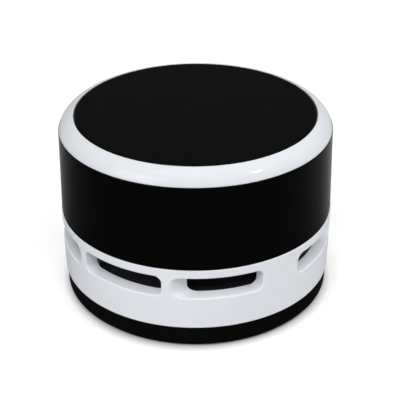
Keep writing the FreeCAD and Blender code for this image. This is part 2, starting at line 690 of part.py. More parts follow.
def switch_knob():
    """The ridged slider in its off place, with the stem that reaches into the switch."""
    x = -SWITCH_TRAVEL / 2
    face = RECESS_FACE + SEAT_GAP
    plate = block(x - KNOB_WIDTH / 2, x + KNOB_WIDTH / 2, face, face + KNOB_THICKNESS,
                  SWITCH_LEVEL - KNOB_HEIGHT / 2, SWITCH_LEVEL + KNOB_HEIGHT / 2)
    stem = block(x - STEM_WIDTH / 2, x + STEM_WIDTH / 2, SWITCH_FACE - SWITCH_DEPTH / 2, face,
                 SWITCH_LEVEL - STEM_HEIGHT / 2, SWITCH_LEVEL + STEM_HEIGHT / 2)
    grooves = []
    for step in range(1, KNOB_RIDGES):
        middle = x + KNOB_WIDTH * (step / KNOB_RIDGES - 1 / 2)
        grooves.append(block(middle - KNOB_RIDGE, middle + KNOB_RIDGE, face + KNOB_THICKNESS - KNOB_RIDGE,
                             face + KNOB_THICKNESS + OVERRUN, SWITCH_LEVEL - KNOB_HEIGHT,
                             SWITCH_LEVEL + KNOB_HEIGHT))
    return plate.fuse(stem).cut(grooves)


def pin_place():
    return SWITCH_FACE - SWITCH_DEPTH / 2


def pin_bottom():
    return SWITCH_LEVEL - SWITCH_HEIGHT / 2 - CRADLE_WALL - SEAT_GAP - PIN_LENGTH


def switch_pins():
    """Solder pins that come down out of the switch through slits in the lower cradle wall."""
    top = SWITCH_LEVEL - SWITCH_HEIGHT / 2
    middle = (PIN_COUNT - 1) / 2
    pins = [bar(PIN_WIDTH / 2, PIN_THICKNESS / 2, pin_bottom(), top, PIN_PITCH * (step - middle), pin_place())
            for step in range(PIN_COUNT)]
    return Part.makeCompound(pins)


def pin_slits():
    low = SWITCH_LEVEL - SWITCH_HEIGHT / 2 - CRADLE_WALL - 2 * SEAT_GAP
    top = SWITCH_LEVEL - SWITCH_HEIGHT / 2
    half = PIN_PITCH * (PIN_COUNT - 1) / 2 + PIN_WIDTH / 2 + SEAT_GAP
    return bar(half, PIN_THICKNESS / 2 + SEAT_GAP, low, top, 0, pin_place())


def housing_with_slits():
    return main_housing().cut(pin_slits())


def bay_parts(side):
    """Walls and saddles of one battery bay, on the side of Y that side gives."""
    low, high = sorted((side * (BAY_INNER - TRAY_WALL), side * (BAY_OUTER + TRAY_WALL)))
    inner = [side * (BAY_INNER - TRAY_WALL), side * BAY_INNER]
    outer = [side * BAY_OUTER, side * (BAY_OUTER + TRAY_WALL)]
    inner_half = CELL_LENGTH / 2 - SPRING_REACH
    walls = [block(-inner_half, inner_half, min(inner), max(inner), BOSS_TOP, CELL_AXIS),
             block(-BAY_HALF, BAY_HALF, min(outer), max(outer), BOSS_TOP, CELL_AXIS)]
    cell_room = Part.makeCylinder(CELL_RADIUS + PRESS_GAP, 2 * BAY_HALF,
                                  Vector(-BAY_HALF, side * CELL_OFFSET, CELL_AXIS), Vector(1, 0, 0))
    for x in (-SADDLE_PITCH / 2, SADDLE_PITCH / 2):
        half = SADDLE_WIDTH / 2
        saddle = block(x - half, x + half, low, high, BOSS_TOP, TRAY_TOP + SADDLE_HEIGHT)
        walls.append(saddle.cut(cell_room))
    return walls


def battery_tray():
    floor = bar(TRAY_HALF_LENGTH, TRAY_HALF_WIDTH, BOSS_TOP, TRAY_TOP)
    ears = bar(POST_OFFSET + BOSS_HALF / 2, TRAY_EAR_WIDTH / 2, BOSS_TOP, TRAY_TOP)
    tray = floor.fuse([ears] + bay_parts(-1) + bay_parts(1))
    wall_top = CELL_AXIS + CONTACT_HEIGHT / 2
    ends = [bar(TRAY_END_WALL / 2, TRAY_HALF_WIDTH, BOSS_TOP, wall_top, side * (BAY_HALF + TRAY_END_WALL / 2))
            for side in (-1, 1)]
    tray = tray.fuse(ends)
    cutout = bar(TRAY_CUTOUT / 2, BAY_INNER - TRAY_WALL, BOSS_TOP - OVERRUN, CELL_AXIS + OVERRUN)
    slits = [bar(CONTACT_THICKNESS / 2 + SEAT_GAP, TAB_WIDTH / 2 + SEAT_GAP, BOSS_TOP - OVERRUN, TRAY_TOP,
                 tab_place(), side * CELL_OFFSET) for side in (-1, 1)]
    hole = CASE_SCREW_RADIUS + SEAT_GAP
    holes = [cylinder(hole, BOSS_TOP - OVERRUN, TRAY_TOP + OVERRUN, x) for x in post_places()]
    return tray.cut([cutout] + slits + holes).removeSplitter()


def cell(side):
    """One AA cell. The front one points its button to -X and the rear one to +X."""
    x = side * (-BAY_HALF + CONTACT_THICKNESS)
    body_length = CELL_LENGTH - CELL_BUTTON_LENGTH
    along = Vector(side, 0, 0)
    start = Vector(x, -side * CELL_OFFSET, CELL_AXIS)
    button = Part.makeCylinder(CELL_BUTTON_RADIUS, CELL_BUTTON_LENGTH, start, along)
    body = Part.makeCylinder(CELL_RADIUS, body_length, start + along * CELL_BUTTON_LENGTH, along)
    return body.fuse(button)


def contact_plate(side, y0, y1):
    """A flat contact against the end wall on the side of X that side gives."""
    near, far = sorted((side * (BAY_HALF - CONTACT_THICKNESS), side * BAY_HALF))
    return block(near, far, y0, y1, CELL_AXIS - CONTACT_HEIGHT / 2, CELL_AXIS + CONTACT_HEIGHT / 2)


def leaf_spring(side, y):
    """A pressed hat-shaped leaf that pushes on the flat end of a cell."""
    back = side * (BAY_HALF - CONTACT_THICKNESS)
    crest = back - side * (SPRING_REACH - PRESS_GAP)
    foot = CONTACT_HEIGHT / 2
    top = SPRING_CREST / 2
    outline = [(back, -foot), (crest, -top), (crest, top), (back, foot),
               (back, foot - 2 * SPRING_LEAF), (crest + side * SPRING_LEAF, top - SPRING_LEAF),
               (crest + side * SPRING_LEAF, SPRING_LEAF - top), (back, 2 * SPRING_LEAF - foot)]
    corners = [Vector(x, y - SPRING_WIDTH / 2, CELL_AXIS + z) for x, z in outline]
    return Part.Face(Part.makePolygon(corners + corners[:1])).extrude(Vector(0, SPRING_WIDTH, 0))


def tab_place():
    return -(BAY_HALF - CONTACT_THICKNESS / 2)


def solder_tab(y):
    return bar(CONTACT_THICKNESS / 2, TAB_WIDTH / 2, BOSS_TOP - TAB_DROP, CELL_AXIS, tab_place(), y)


def front_contact():
    y = -CELL_OFFSET
    plate = contact_plate(-1, y - CONTACT_WIDTH / 2, y + CONTACT_WIDTH / 2)
    return plate.fuse(solder_tab(y)).removeSplitter()


def rear_contact():
    y = CELL_OFFSET
    plate = contact_plate(-1, y - CONTACT_WIDTH / 2, y + CONTACT_WIDTH / 2)
    return plate.fuse([solder_tab(y), leaf_spring(-1, y)]).removeSplitter()


def bridge_contact():
    reach = CELL_OFFSET + CONTACT_WIDTH / 2
    return contact_plate(1, -reach, reach).fuse(leaf_spring(1, -CELL_OFFSET)).removeSplitter()


def lid_tab_radius():
    return HOUSING_INNER - LOOSE_GAP


def lid_lug_level():
    return LID_BOTTOM - LID_TAB_DROP + SEAT_GAP


def lid_shoulder():
    """The sloping skin of the lid, an arc that stands out from the straight slope by the bulge."""
    seam = Vector(LID_RADIUS, 0, LID_BOTTOM)
    crown = Vector(TOP_PLATE_RADIUS, 0, TOTAL_HEIGHT)
    slope = crown - seam
    outwards = Vector(slope.z, 0, -slope.x).normalize()
    return Part.Arc(seam, seam + slope * (1 / 2) + outwards * LID_BULGE, crown).toShape()


def lid_ring():
    inner = LID_RADIUS - LID_WALL
    edges = profile([(0, LID_DECK_BOTTOM), (inner, LID_DECK_BOTTOM), (inner, LID_BOTTOM), (LID_RADIUS, LID_BOTTOM)])
    edges.append(lid_shoulder())
    edges += profile([(TOP_PLATE_RADIUS, TOTAL_HEIGHT), (TOP_PLATE_RADIUS, LID_DECK_TOP), (0, LID_DECK_TOP),
                      (0, LID_DECK_BOTTOM)])
    outer = lid_tab_radius()
    bottom = LID_BOTTOM - LID_TAB_DROP
    margin = (LID_TAB_ANGLE - LUG_ANGLE) / 2
    tab = sector(outer, outer - LID_TAB_WALL, bottom, LID_DECK_BOTTOM + LID_DECK / 2, LID_LUG_ANGLE - margin,
                 LID_TAB_ANGLE)
    lug = twist_lug(outer, lid_lug_level(), LID_LUG_ANGLE)
    return revolved(edges).fuse(around(tab, LUG_COUNT) + around(lug, LUG_COUNT)).removeSplitter()


def top_plate():
    plate = cylinder(TOP_PLATE_RADIUS - SEAT_GAP, LID_DECK_TOP, TOTAL_HEIGHT)
    rim = [edge for edge in plate.Edges if edge.Closed and edge.Vertexes[0].Z > TOTAL_HEIGHT - PRESS_GAP]
    return plate.makeChamfer(TOP_PLATE_BEVEL, rim)


def battery_pads():
    pads = [bar(PAD_LENGTH / 2, PAD_WIDTH / 2, LID_DECK_BOTTOM - PAD_THICKNESS, LID_DECK_BOTTOM, 0, y)
            for y in (-CELL_OFFSET, CELL_OFFSET)]
    return Part.makeCompound(pads)


def screw(x, head_radius, shank_radius, seat, tip, direction):
    """A screw whose head bears on the level seat and whose shank runs to the level tip."""
    head = Part.makeCylinder(head_radius, SCREW_HEAD_HEIGHT, Vector(x, 0, seat), direction * -1)
    shank = Part.makeCylinder(shank_radius, abs(tip - seat), Vector(x, 0, seat), direction)
    return head.fuse(shank)


def case_screws():
    tip = BAND_BOTTOM + CASE_SCREW_GRIP
    return Part.makeCompound([screw(x, SCREW_HEAD_RADIUS, BOSS_BORE - PRESS_GAP, SHROUD_BOTTOM, tip, UP)
                              for x in post_places()])


def tray_screws():
    tip = TRAY_TOP - TRAY_SCREW_LENGTH
    return Part.makeCompound([screw(x, SCREW_HEAD_RADIUS, BOSS_BORE - PRESS_GAP, TRAY_TOP, tip, DOWN)
                              for x in post_places()])


def motor_screws():
    tip = DECK_TOP + CAN_WALL
    return Part.makeCompound([screw(x, MOTOR_SCREW_HEAD, MOTOR_SCREW_RADIUS, DECK_BOTTOM, tip, UP)
                              for x in motor_screw_places()])


def wire(name, points):
    """A round-cornered wire through the points. It is six-sided, and its length is checked by its volume."""
    edges = []
    start = points[0]
    radii = []
    for before, corner, after in zip(points, points[1:], points[2:]):
        back = (before - corner).normalize()
        ahead = (after - corner).normalize()
        half_turn = (math.pi - back.getAngle(ahead)) / 2
        trim = BEND_SHARE * min(before.distanceToPoint(corner), after.distanceToPoint(corner))
        radius = trim / math.tan(half_turn)
        bisector = (back + ahead).normalize()
        depth = radius / math.cos(half_turn) - radius
        first = corner + back * trim
        last = corner + ahead * trim
        edges.append(Part.LineSegment(start, first).toShape())
        edges.append(Part.Arc(first, corner + bisector * depth, last).toShape())
        radii.append(round(radius, 1))
        start = last
    edges.append(Part.LineSegment(start, points[-1]).toShape())
    path = Part.Wire(edges)
    along = (points[1] - points[0]).normalize()
    across = along.cross(Vector(1, 1, 1)).normalize() * WIRE_RADIUS
    other = along.cross(across)
    corners = []
    for side in range(WIRE_SIDES):
        angle = 2 * math.pi * side / WIRE_SIDES
        corners.append(points[0] + across * math.cos(angle) + other * math.sin(angle))
    section = Part.makePolygon(corners + corners[:1])
    solid = path.makePipeShell([section], True, False)
    expected = Part.Face(section).Area * path.Length
    print(name, "bend radii", radii, "volume over section times length", round(solid.Volume / expected, 4))
    return solid


def battery_wire():
    """From the front cell to the switch, low over the deck and round the motor."""
    top = BOSS_TOP - TAB_DROP
    level = DECK_TOP + WIRE_LOW_RISE
    x = tab_place()
    pin = -PIN_PITCH * (PIN_COUNT - 1) / 2
    turn = BAY_HALF - WIRE_STANDOFF
    return wire("battery_wire", [Vector(x, -CELL_OFFSET, top), Vector(x, -CELL_OFFSET, level),
                                 Vector(-turn, CELL_OFFSET + WIRE_STANDOFF, level),
                                 Vector(pin, pin_place(), level), Vector(pin, pin_place(), pin_bottom())])


def terminal_end():
    return TERMINAL_OFFSET + TERMINAL_LENGTH


def motor_wire():
    """From the switch to the motor terminal on +X."""
    level = DECK_TOP + WIRE_LOW_RISE
    terminal = END_CAP_TOP + TERMINAL_THICKNESS / 2
    riser = terminal_end() + WIRE_STANDOFF
    pin = PIN_PITCH * (PIN_COUNT - 1) / 2
    return wire("motor_wire", [Vector(pin, pin_place(), pin_bottom()), Vector(pin, pin_place(), level),
                               Vector(riser, 0, level), Vector(riser, 0, terminal),
                               Vector(terminal_end(), 0, terminal)])


def return_wire():
    """From the rear cell to the motor terminal on -X, above the battery wire."""
    top = BOSS_TOP - TAB_DROP
    level = DECK_TOP + WIRE_HIGH_RISE
    terminal = END_CAP_TOP + TERMINAL_THICKNESS / 2
    riser = -terminal_end() - WIRE_STANDOFF
    x = tab_place()
    return wire("return_wire", [Vector(x, CELL_OFFSET, top), Vector(x, CELL_OFFSET, level),
                                Vector(riser, 0, level), Vector(riser, 0, terminal),
                                Vector(-terminal_end(), 0, terminal)])


def pieces():
    """Every node of the part under its file name."""
    return {
        "top_plate": top_plate(),
        "lid_ring": lid_ring(),
        "battery_pads": battery_pads(),
        "main_housing": housing_with_slits(),
        "vent_ring": vent_ring(),
        "motor_deck": motor_deck(),
        "fan_shroud": fan_shroud(),
        "impeller": impeller(),
        "motor_shaft": motor_shaft(),
        "armature_core": armature_core(),
        "armature_coils": armature_coils(),
        "commutator": commutator(),
        "motor_can": motor_can(),
        "motor_magnets": motor_magnets(),
        "motor_end_cap": motor_end_cap(),
        "front_bush": bush(DECK_TOP - CAN_BOSS_LENGTH),
        "rear_bush": bush(END_CAP_TOP + END_BOSS_LENGTH - BUSH_LENGTH),
        "motor_brushes": motor_brushes(),
        "motor_terminals": motor_terminals(),
        "battery_tray": battery_tray(),
        "front_cell": cell(1),
        "rear_cell": cell(-1),
        "front_contact": front_contact(),
        "rear_contact": rear_contact(),
        "bridge_contact": bridge_contact(),
        "switch_case": switch_case(),
        "switch_knob": switch_knob(),
        "switch_pins": switch_pins(),
        "battery_wire": battery_wire(),
        "motor_wire": motor_wire(),
        "return_wire": return_wire(),
        "case_screws": case_screws(),
        "tray_screws": tray_screws(),
        "motor_screws": motor_screws(),
        "base_cup": base_cup(),
        "front_brush": brush(-1),
        "rear_brush": brush(1),
        "filter_frame": filter_frame(),
        "filter_screen": filter_screen(),
    }


def main():
    os.makedirs("parts", exist_ok=True)
    for name, shape in pieces().items():
        shape.exportStep(f"parts/{name}.step")
        print(name, "solids", len(shape.Solids), "valid", shape.isValid(), "volume", round(shape.Volume, 2))


main()
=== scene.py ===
"""Looks of the desktop mini vacuum cleaner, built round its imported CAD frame. Every length is in metres."""

import json
import logging
import math
from dataclasses import dataclass, field
from enum import Enum
from typing import Callable, Sequence

import bmesh
import bpy
import numpy as np
from mathutils import Matrix, Vector


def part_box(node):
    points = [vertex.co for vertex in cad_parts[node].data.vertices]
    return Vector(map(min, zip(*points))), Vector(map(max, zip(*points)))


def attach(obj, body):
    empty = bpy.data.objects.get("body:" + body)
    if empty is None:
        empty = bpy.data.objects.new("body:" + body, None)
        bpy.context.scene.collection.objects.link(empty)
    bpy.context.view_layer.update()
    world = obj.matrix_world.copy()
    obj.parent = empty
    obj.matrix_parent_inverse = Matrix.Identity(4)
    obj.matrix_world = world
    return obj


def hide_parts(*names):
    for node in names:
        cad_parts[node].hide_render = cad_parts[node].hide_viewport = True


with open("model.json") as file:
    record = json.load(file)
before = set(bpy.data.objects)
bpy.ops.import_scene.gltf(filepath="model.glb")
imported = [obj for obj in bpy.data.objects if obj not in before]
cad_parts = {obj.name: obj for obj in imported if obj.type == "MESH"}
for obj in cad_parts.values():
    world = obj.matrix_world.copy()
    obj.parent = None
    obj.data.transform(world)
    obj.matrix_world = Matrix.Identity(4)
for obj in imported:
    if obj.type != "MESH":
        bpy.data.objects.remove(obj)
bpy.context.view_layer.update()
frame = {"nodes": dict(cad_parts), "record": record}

MM = 0.001
DEGREE = math.pi / 180
FULL_TURN = 2 * math.pi
WELD = 0.002 * MM
KEY_STEP = 0.0005 * MM
SAME_LEVEL = 5 * WELD
SAME_RADIUS = 10 * WELD
SMOOTH_ANGLE = 32 * DEGREE
BEVEL_ANGLE = 40 * DEGREE

Array = np.ndarray
Colour = tuple[float, float, float]
Surface = tuple[Array, Array]
Piece = bpy.types.Object
Material = bpy.types.Material
Socket = bpy.types.NodeSocket
Links = dict[str | int, Socket]

log = logging.getLogger("desk_vacuum")


class Body(Enum):
    """The moving bodies of the frame."""

    HOUSING = "housing"
    ROTOR = "rotor"
    LID = "lid"
    DUST_CUP = "dust_cup"
    SWITCH = "switch"


# Surfaces worked out as arrays


def grid_faces(rows: int, columns: int, closed: bool = False) -> Array:
    """Quads between neighbouring rows and columns of a grid of points.

    Args:
        rows: Number of rows of points.
        columns: Number of points in a row.
        closed: Whether the last column joins the first.

    Returns:
        Quads as rows of four point numbers.
    """
    row = np.arange(rows - 1)[:, None]
    column = np.arange(columns if closed else columns - 1)[None, :]
    after = (column + 1) % columns
    first = row * columns + column
    second = row * columns + after
    quads = np.stack([first, second, second + columns, first + columns], axis=-1)
    return quads.reshape(-1, 4)


def line(start: Sequence[float], end: Sequence[float], steps: int = 6, support: float = 0.15 * MM) -> Array:
    """A straight run: even points from start to end, with one support point close to each end.

    Args:
        start: Radius and height of the first point.
        end: Radius and height of the last point.
        steps: Number of even stretches.
        support: Distance of the support points from the ends.

    Returns:
        Points as rows of radius and height.
    """
    a, b = np.array(start, float), np.array(end, float)
    near = min(0.3 / steps, support / max(np.linalg.norm(b - a), WELD))
    share = np.unique(np.concatenate([np.linspace(0, 1, steps + 1), [near, 1 - near]]))
    return a + (b - a) * share[:, None]


def corner(before: Sequence[float], tip: Sequence[float], after: Sequence[float], radius: float,
           steps: int = 6) -> Array:
    """A rounded corner: the arc of the given radius that touches both legs of the corner.

    Args:
        before: A point on the leg that comes in.
        tip: The sharp corner.
        after: A point on the leg that goes out.
        radius: Radius of the arc.
        steps: Number of stretches of the arc.

    Returns:
        Points as rows of radius and height.
    """
    tip_point = np.array(tip, float)
    back = np.array(before, float) - tip_point
    ahead = np.array(after, float) - tip_point
    back /= np.linalg.norm(back)
    ahead /= np.linalg.norm(ahead)
    half = math.acos(float(np.clip(back @ ahead, -1, 1))) / 2
    trim = radius / math.tan(half)
    middle = tip_point + (back + ahead) / np.linalg.norm(back + ahead) * radius / math.sin(half)
    first = tip_point + back * trim - middle
    last = tip_point + ahead * trim - middle
    turn = math.atan2(first[0] * last[1] - first[1] * last[0], first @ last)
    angle = math.atan2(first[1], first[0]) + turn * np.linspace(0, 1, steps + 1)
    return middle + radius * np.stack([np.cos(angle), np.sin(angle)], axis=1)


def rounded_path(points: Sequence[Sequence[float]], radii: Sequence[float], steps: int = 6) -> Array:
    """A path through the points whose inner corners are rounded by the radii.

    Args:
        points: Radius and height of each corner.
        radii: Radius of each inner corner, one fewer at each end than the points.
        steps: Number of stretches of each arc and of each straight run.

    Returns:
        Points as rows of radius and height.
    """
    arcs = [corner(a, b, c, radius, steps) for a, b, c, radius in zip(points, points[1:], points[2:], radii)]
    ends = [np.array([points[0]], float)] + arcs + [np.array([points[-1]], float)]
    runs = []
    for before, after in zip(ends, ends[1:]):
        runs.append(line(before[-1], after[0], steps))
        if after is not ends[-1]:
            runs.append(after[1:-1])
    return np.vstack(runs)


def lathe(path: Array, angles: Array, closed: bool = True) -> Surface:
    """Turns a path round the Z axis: x = r cos(a), y = r sin(a), z = z for each path point and angle.

    Args:
        path: Points as rows of radius and height.
        angles: Angles of the turn.
        closed: Whether the last angle joins the first.

    Returns:
        Points and quads.
    """
    radius, height = path[:, 0:1], path[:, 1:2]
    flat = np.ones_like(angles)[None, :]
    across, along = np.cos(angles)[None, :], np.sin(angles)[None, :]
    points = np.stack([radius * across, radius * along, height * flat], axis=-1)
    return points.reshape(-1, 3), grid_faces(len(path), len(angles), closed)


def even_turn(count: int) -> Array:
    """The given number of even angles round a full turn."""
    return np.linspace(0, FULL_TURN, count, endpoint=False)


def tube(path: Array, radius: float, sides: int) -> Surface:
    """A round tube: circles about each path point, square to the path, with closed ends.

    Each circle is point + radius (cos(a) across + sin(a) other), and its frame is carried along the path.

    Args:
        path: Points of the centre line.
        radius: Radius of the tube.
        sides: Points on each circle.

    Returns:
        Points and quads.
    """
    tangent = np.gradient(path, axis=0)
    tangent /= np.linalg.norm(tangent, axis=1, keepdims=True)
    across = np.cross(tangent, [0.36, 0.48, 0.8])
    across /= np.linalg.norm(across, axis=1, keepdims=True)
    other = np.cross(tangent, across)
    angle = even_turn(sides)
    rings = path[:, None] + radius * (np.cos(angle)[None, :, None] * across[:, None]
                                      + np.sin(angle)[None, :, None] * other[:, None])
    first, last = np.repeat(path[:1, None], sides, 1), np.repeat(path[-1:, None], sides, 1)
    rings = np.concatenate([first, rings, last])
    return rings.reshape(-1, 3), grid_faces(len(rings), sides, True)


def joined(surfaces: Sequence[Surface]) -> Surface:
    """Several surfaces as one, with the point numbers of each moved on.

    Args:
        surfaces: Points and faces of each.

    Returns:
        Points, and faces as quads; a triangle repeats its last number.
    """
    offsets = np.cumsum([0] + [len(points) for points, _ in surfaces[:-1]])
    points = np.vstack([points for points, _ in surfaces])
    width = max(faces.shape[1] for _, faces in surfaces)
    rows = []
    for (_, faces), offset in zip(surfaces, offsets):
        filled = faces + offset
        if faces.shape[1] < width:
            filled = np.hstack([filled, filled[:, -1:]])
        rows.append(filled)
    return points, np.vstack(rows)


def signed_power(wave: Array, power: float) -> Array:
    """The size of each value raised to the power, with the value's own sign."""
    return np.sign(wave) * np.abs(wave) ** power


def mirrored(surface: Surface) -> Surface:
    """The surface mirrored in the XZ plane, with its faces turned to point outwards again."""
    points, faces = surface
    return points * np.array([1, -1, 1]), faces[:, ::-1]


def half_turned(surface: Surface) -> Surface:
    """The surface turned half a turn round the Z axis."""
    points, faces = surface
    return points * np.array([-1, -1, 1]), faces


def node_surface(node: str) -> Surface:
    """A copy of a CAD node's triangles, with their shared corners merged.

    Args:
        node: Name of the CAD node.

    Returns:
        Points and triangles.
    """
    mesh = frame["nodes"][node].data
    points = np.zeros(len(mesh.vertices) * 3)
    mesh.vertices.foreach_get("co", points)
    mesh.calc_loop_triangles()
    corners = np.zeros(len(mesh.loop_triangles) * 3, int)
    mesh.loop_triangles.foreach_get("vertices", corners)
    keys = np.round(points.reshape(-1, 3) / KEY_STEP).astype(np.int64)
    _, first, merged = np.unique(keys, axis=0, return_index=True, return_inverse=True)
    return points.reshape(-1, 3)[first], merged.reshape(-1)[corners].reshape(-1, 3)


def mesh_object(name: str, surface: Surface, smooth_angle: float = SMOOTH_ANGLE, weld: bool = True,
                recalculate: bool = False) -> Piece:
    """A mesh object from points and faces, at the origin.

    Args:
        name: Name of the object.
        surface: Points and quads or triangles; a quad whose last two numbers are equal is a triangle.
        smooth_angle: Edges sharper than this stay sharp in the shading.
        weld: Whether points closer than the weld distance are merged.
        recalculate: Whether the faces are made to point outwards after the weld.

    Returns:
        The object, linked to the scene.
    """
    points, faces = surface
    rows = [row if row[-1] != row[-2] else row[:-1] for row in faces.tolist()]
    mesh = bpy.data.meshes.new(name)
    mesh.from_pydata(points.tolist(), [], rows)
    if weld:
        work = bmesh.new()
        work.from_mesh(mesh)
        bmesh.ops.remove_doubles(work, verts=work.verts, dist=WELD)
        bmesh.ops.dissolve_degenerate(work, edges=work.edges, dist=WELD / 4)
        if recalculate:
            bmesh.ops.recalc_face_normals(work, faces=work.faces)
        work.to_mesh(mesh)
        work.free()
    mesh.shade_smooth()
    mesh.set_sharp_from_angle(angle=smooth_angle)
    piece = bpy.data.objects.new(name, mesh)
    bpy.context.scene.collection.objects.link(piece)
    return piece


def seat_piece(piece: Piece, body: Body, material: Material,
               nodes: Sequence[str] = ()) -> Piece:
    """Gives a piece its material, its body and the CAD nodes that it stands for.

    Args:
        piece: The piece.
        body: The body that it rides on.
        material: Its material.
        nodes: CAD nodes that it replaces.

    Returns:
        The piece.
    """
    piece.data.materials.clear()
    piece.data.materials.append(material)
    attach(piece, body.value)
    if nodes:
        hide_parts(*nodes)
    return piece


def weighted(piece: Piece) -> Piece:
    """Weights a piece's normals by face size, so that a rounded edge doesn't bend the reflections beside it.

    Args:
        piece: The piece.

    Returns:
        The piece.
    """
    modifier = piece.modifiers.new("normals", "WEIGHTED_NORMAL")
    modifier.keep_sharp = True
    return piece


def bevelled(piece: Piece, width: float, segments: int = 2) -> Piece:
    """Adds a small bevel to the sharp edges of a piece, with normals weighted by face size.

    Args:
        piece: The piece.
        width: Width of the bevel.
        segments: Number of its rows.

    Returns:
        The piece.
    """
    bevel = piece.modifiers.new("edge", "BEVEL")
    bevel.width = width
    bevel.segments = segments
    bevel.limit_method = "ANGLE"
    bevel.angle_limit = BEVEL_ANGLE
    bevel.use_clamp_overlap = True
    bevel.harden_normals = False
    return weighted(piece)


# Finishes


class NodeDesk:
    """The node tree of one material, with short calls for the nodes that the finishes share."""

    def __init__(self, name: str) -> None:
        """Makes a material that holds a Principled BSDF and its output.

        Args:
            name: Name of the material.
        """
        self.material = bpy.data.materials.new(name)
        self.material.use_nodes = True
        self.tree = self.material.node_tree
        self.shader = self.tree.nodes["Principled BSDF"]
        self.coordinates = self.tree.nodes.new("ShaderNodeTexCoord").outputs["Object"]

    def node(self, kind: str, links: Links | None = None, **values: object) -> bpy.types.Node:
        """Adds a node.

        Args:
            kind: Blender's type name of the node.
            links: Output sockets by the input that each feeds.
            values: Properties of the node, or default values of inputs named with underscores for spaces.

        Returns:
            The node.
        """
        made = self.tree.nodes.new(kind)
        for key, value in values.items():
            if hasattr(made, key):
                setattr(made, key, value)
            else:
                made.inputs[key.replace("_", " ")].default_value = value
        for key, socket in (links or {}).items():
            self.tree.links.new(socket, made.inputs[key])
        return made

    def stretched(self, scale: Sequence[float], turn: Sequence[float] = (0, 0, 0)) -> Socket:
        """Object coordinates scaled along each axis and then turned by the angles.

        Args:
            scale: Scale along each axis.
            turn: Angle about each axis.

        Returns:
            The coordinates.
        """
        mapping = self.node("ShaderNodeMapping", {"Vector": self.coordinates})
        mapping.inputs["Scale"].default_value = scale
        mapping.inputs["Rotation"].default_value = turn
        return mapping.outputs["Vector"]

    def noise(self, size: float, detail: float = 3.0, roughness: float = 0.55,
              vector: Socket | None = None) -> Socket:
        """Noise whose lumps are about the given size, from 0 to 1."""
        made = self.node("ShaderNodeTexNoise", {"Vector": vector or self.coordinates}, Scale=1 / size,
                         Detail=detail, Roughness=roughness)
        return made.outputs["Fac"]

    def spread(self, socket: Socket, low: float, high: float, start: float = 0.3,
               end: float = 0.7) -> Socket:
        """Maps start..end of a socket to low..high."""
        made = self.node("ShaderNodeMapRange", {"Value": socket}, From_Min=start, From_Max=end, To_Min=low,
                         To_Max=high)
        return made.outputs["Result"]

    def math(self, operation: str, first: Socket, second: Socket | float = 0.0) -> Socket:
        """An operation on a socket, or on a socket and a second value.

        Args:
            operation: Blender's name of the operation.
            first: First value.
            second: Second value, a socket or a number; an operation on one value leaves it aside.

        Returns:
            The result.
        """
        made = self.node("ShaderNodeMath", {0: first}, operation=operation)
        if isinstance(second, Socket):
            self.tree.links.new(second, made.inputs[1])
        else:
            made.inputs[1].default_value = second
        return made.outputs[0]

    def reach(self, axes: Sequence[float] = (1, 1, 1)) -> Socket:
        """Distance from the origin, with each axis counted by its share."""
        made = self.node("ShaderNodeVectorMath", {0: self.stretched(axes)}, operation="LENGTH")
        return made.outputs["Value"]

    def split(self, vector: Socket) -> Sequence[Socket]:
        """X, Y and Z of a vector."""
        return self.node("ShaderNodeSeparateXYZ", {0: vector}).outputs

    def blend(self, share: Socket, first: Colour, second: Colour) -> Socket:
        """Mixes two colours.

        Args:
            share: Share of the second colour.
            first: First colour.
            second: Second colour.

        Returns:
            The mixed colour.
        """
        made = self.tree.nodes.new("ShaderNodeMix")
        made.data_type = "RGBA"
        self.tree.links.new(share, made.inputs["Factor"])
        made.inputs["A"].default_value = (*first, 1)
        made.inputs["B"].default_value = (*second, 1)
        return made.outputs["Result"]

    def relief(self, socket: Socket, depth: float, below: Socket | None = None) -> Socket:
        """A bump, on top of another one.

        Args:
            socket: Height, from 0 to 1.
            depth: Depth of the bump.
            below: Normal of the bump below it.

        Returns:
            The normal.
        """
        links = {"Height": socket}
        if below:
            links["Normal"] = below
        return self.node("ShaderNodeBump", links, Strength=1.0, Distance=depth).outputs["Normal"]

    def feed(self, colour: Socket, roughness: Socket | None = None, normal: Socket | None = None) -> None:
        """Feeds the shader.

        Args:
            colour: Base colour.
            roughness: Roughness.
            normal: Normal.
        """
        for socket, name in ((colour, "Base Color"), (roughness, "Roughness"), (normal, "Normal")):
            if socket:
                self.tree.links.new(socket, self.shader.inputs[name])

    def fixed(self, **values: float) -> None:
        """Sets inputs of the shader to values that are the same all over."""
        for key, value in values.items():
            self.shader.inputs[key.replace("_", " ")].default_value = value


def shaded(colour: Colour, factor: float) -> Colour:
    """The colour made lighter or darker by the factor, no lighter than white."""
    red, green, blue = (min(1.0, channel * factor) for channel in colour)
    return red, green, blue


CLOUD = 7 * MM
GLOSS_CLOUD = 3 * MM
TARNISH_CLOUD = 2.5 * MM
WEAVE_CLOUD = 2 * MM
LAYER_CLOUD = 1.5 * MM
SLEEVE_CLOUD = 4 * MM
WAVE_SCALE = math.pi / 10


@dataclass(frozen=True)
class Finish:
    """A finish of the record's material slot, whose nodes its own kind lays."""

    slot: str
    tint: Colour

    def material(self) -> Material:
        """The node material of this finish.

        Returns:
            The material.
        """
        desk = NodeDesk(self.slot)
        self.dress(desk)
        return desk.material

    def dress(self, desk: NodeDesk) -> None:
        """Lays the nodes of this finish; each kind of finish has its own."""
        raise NotImplementedError(self.slot)


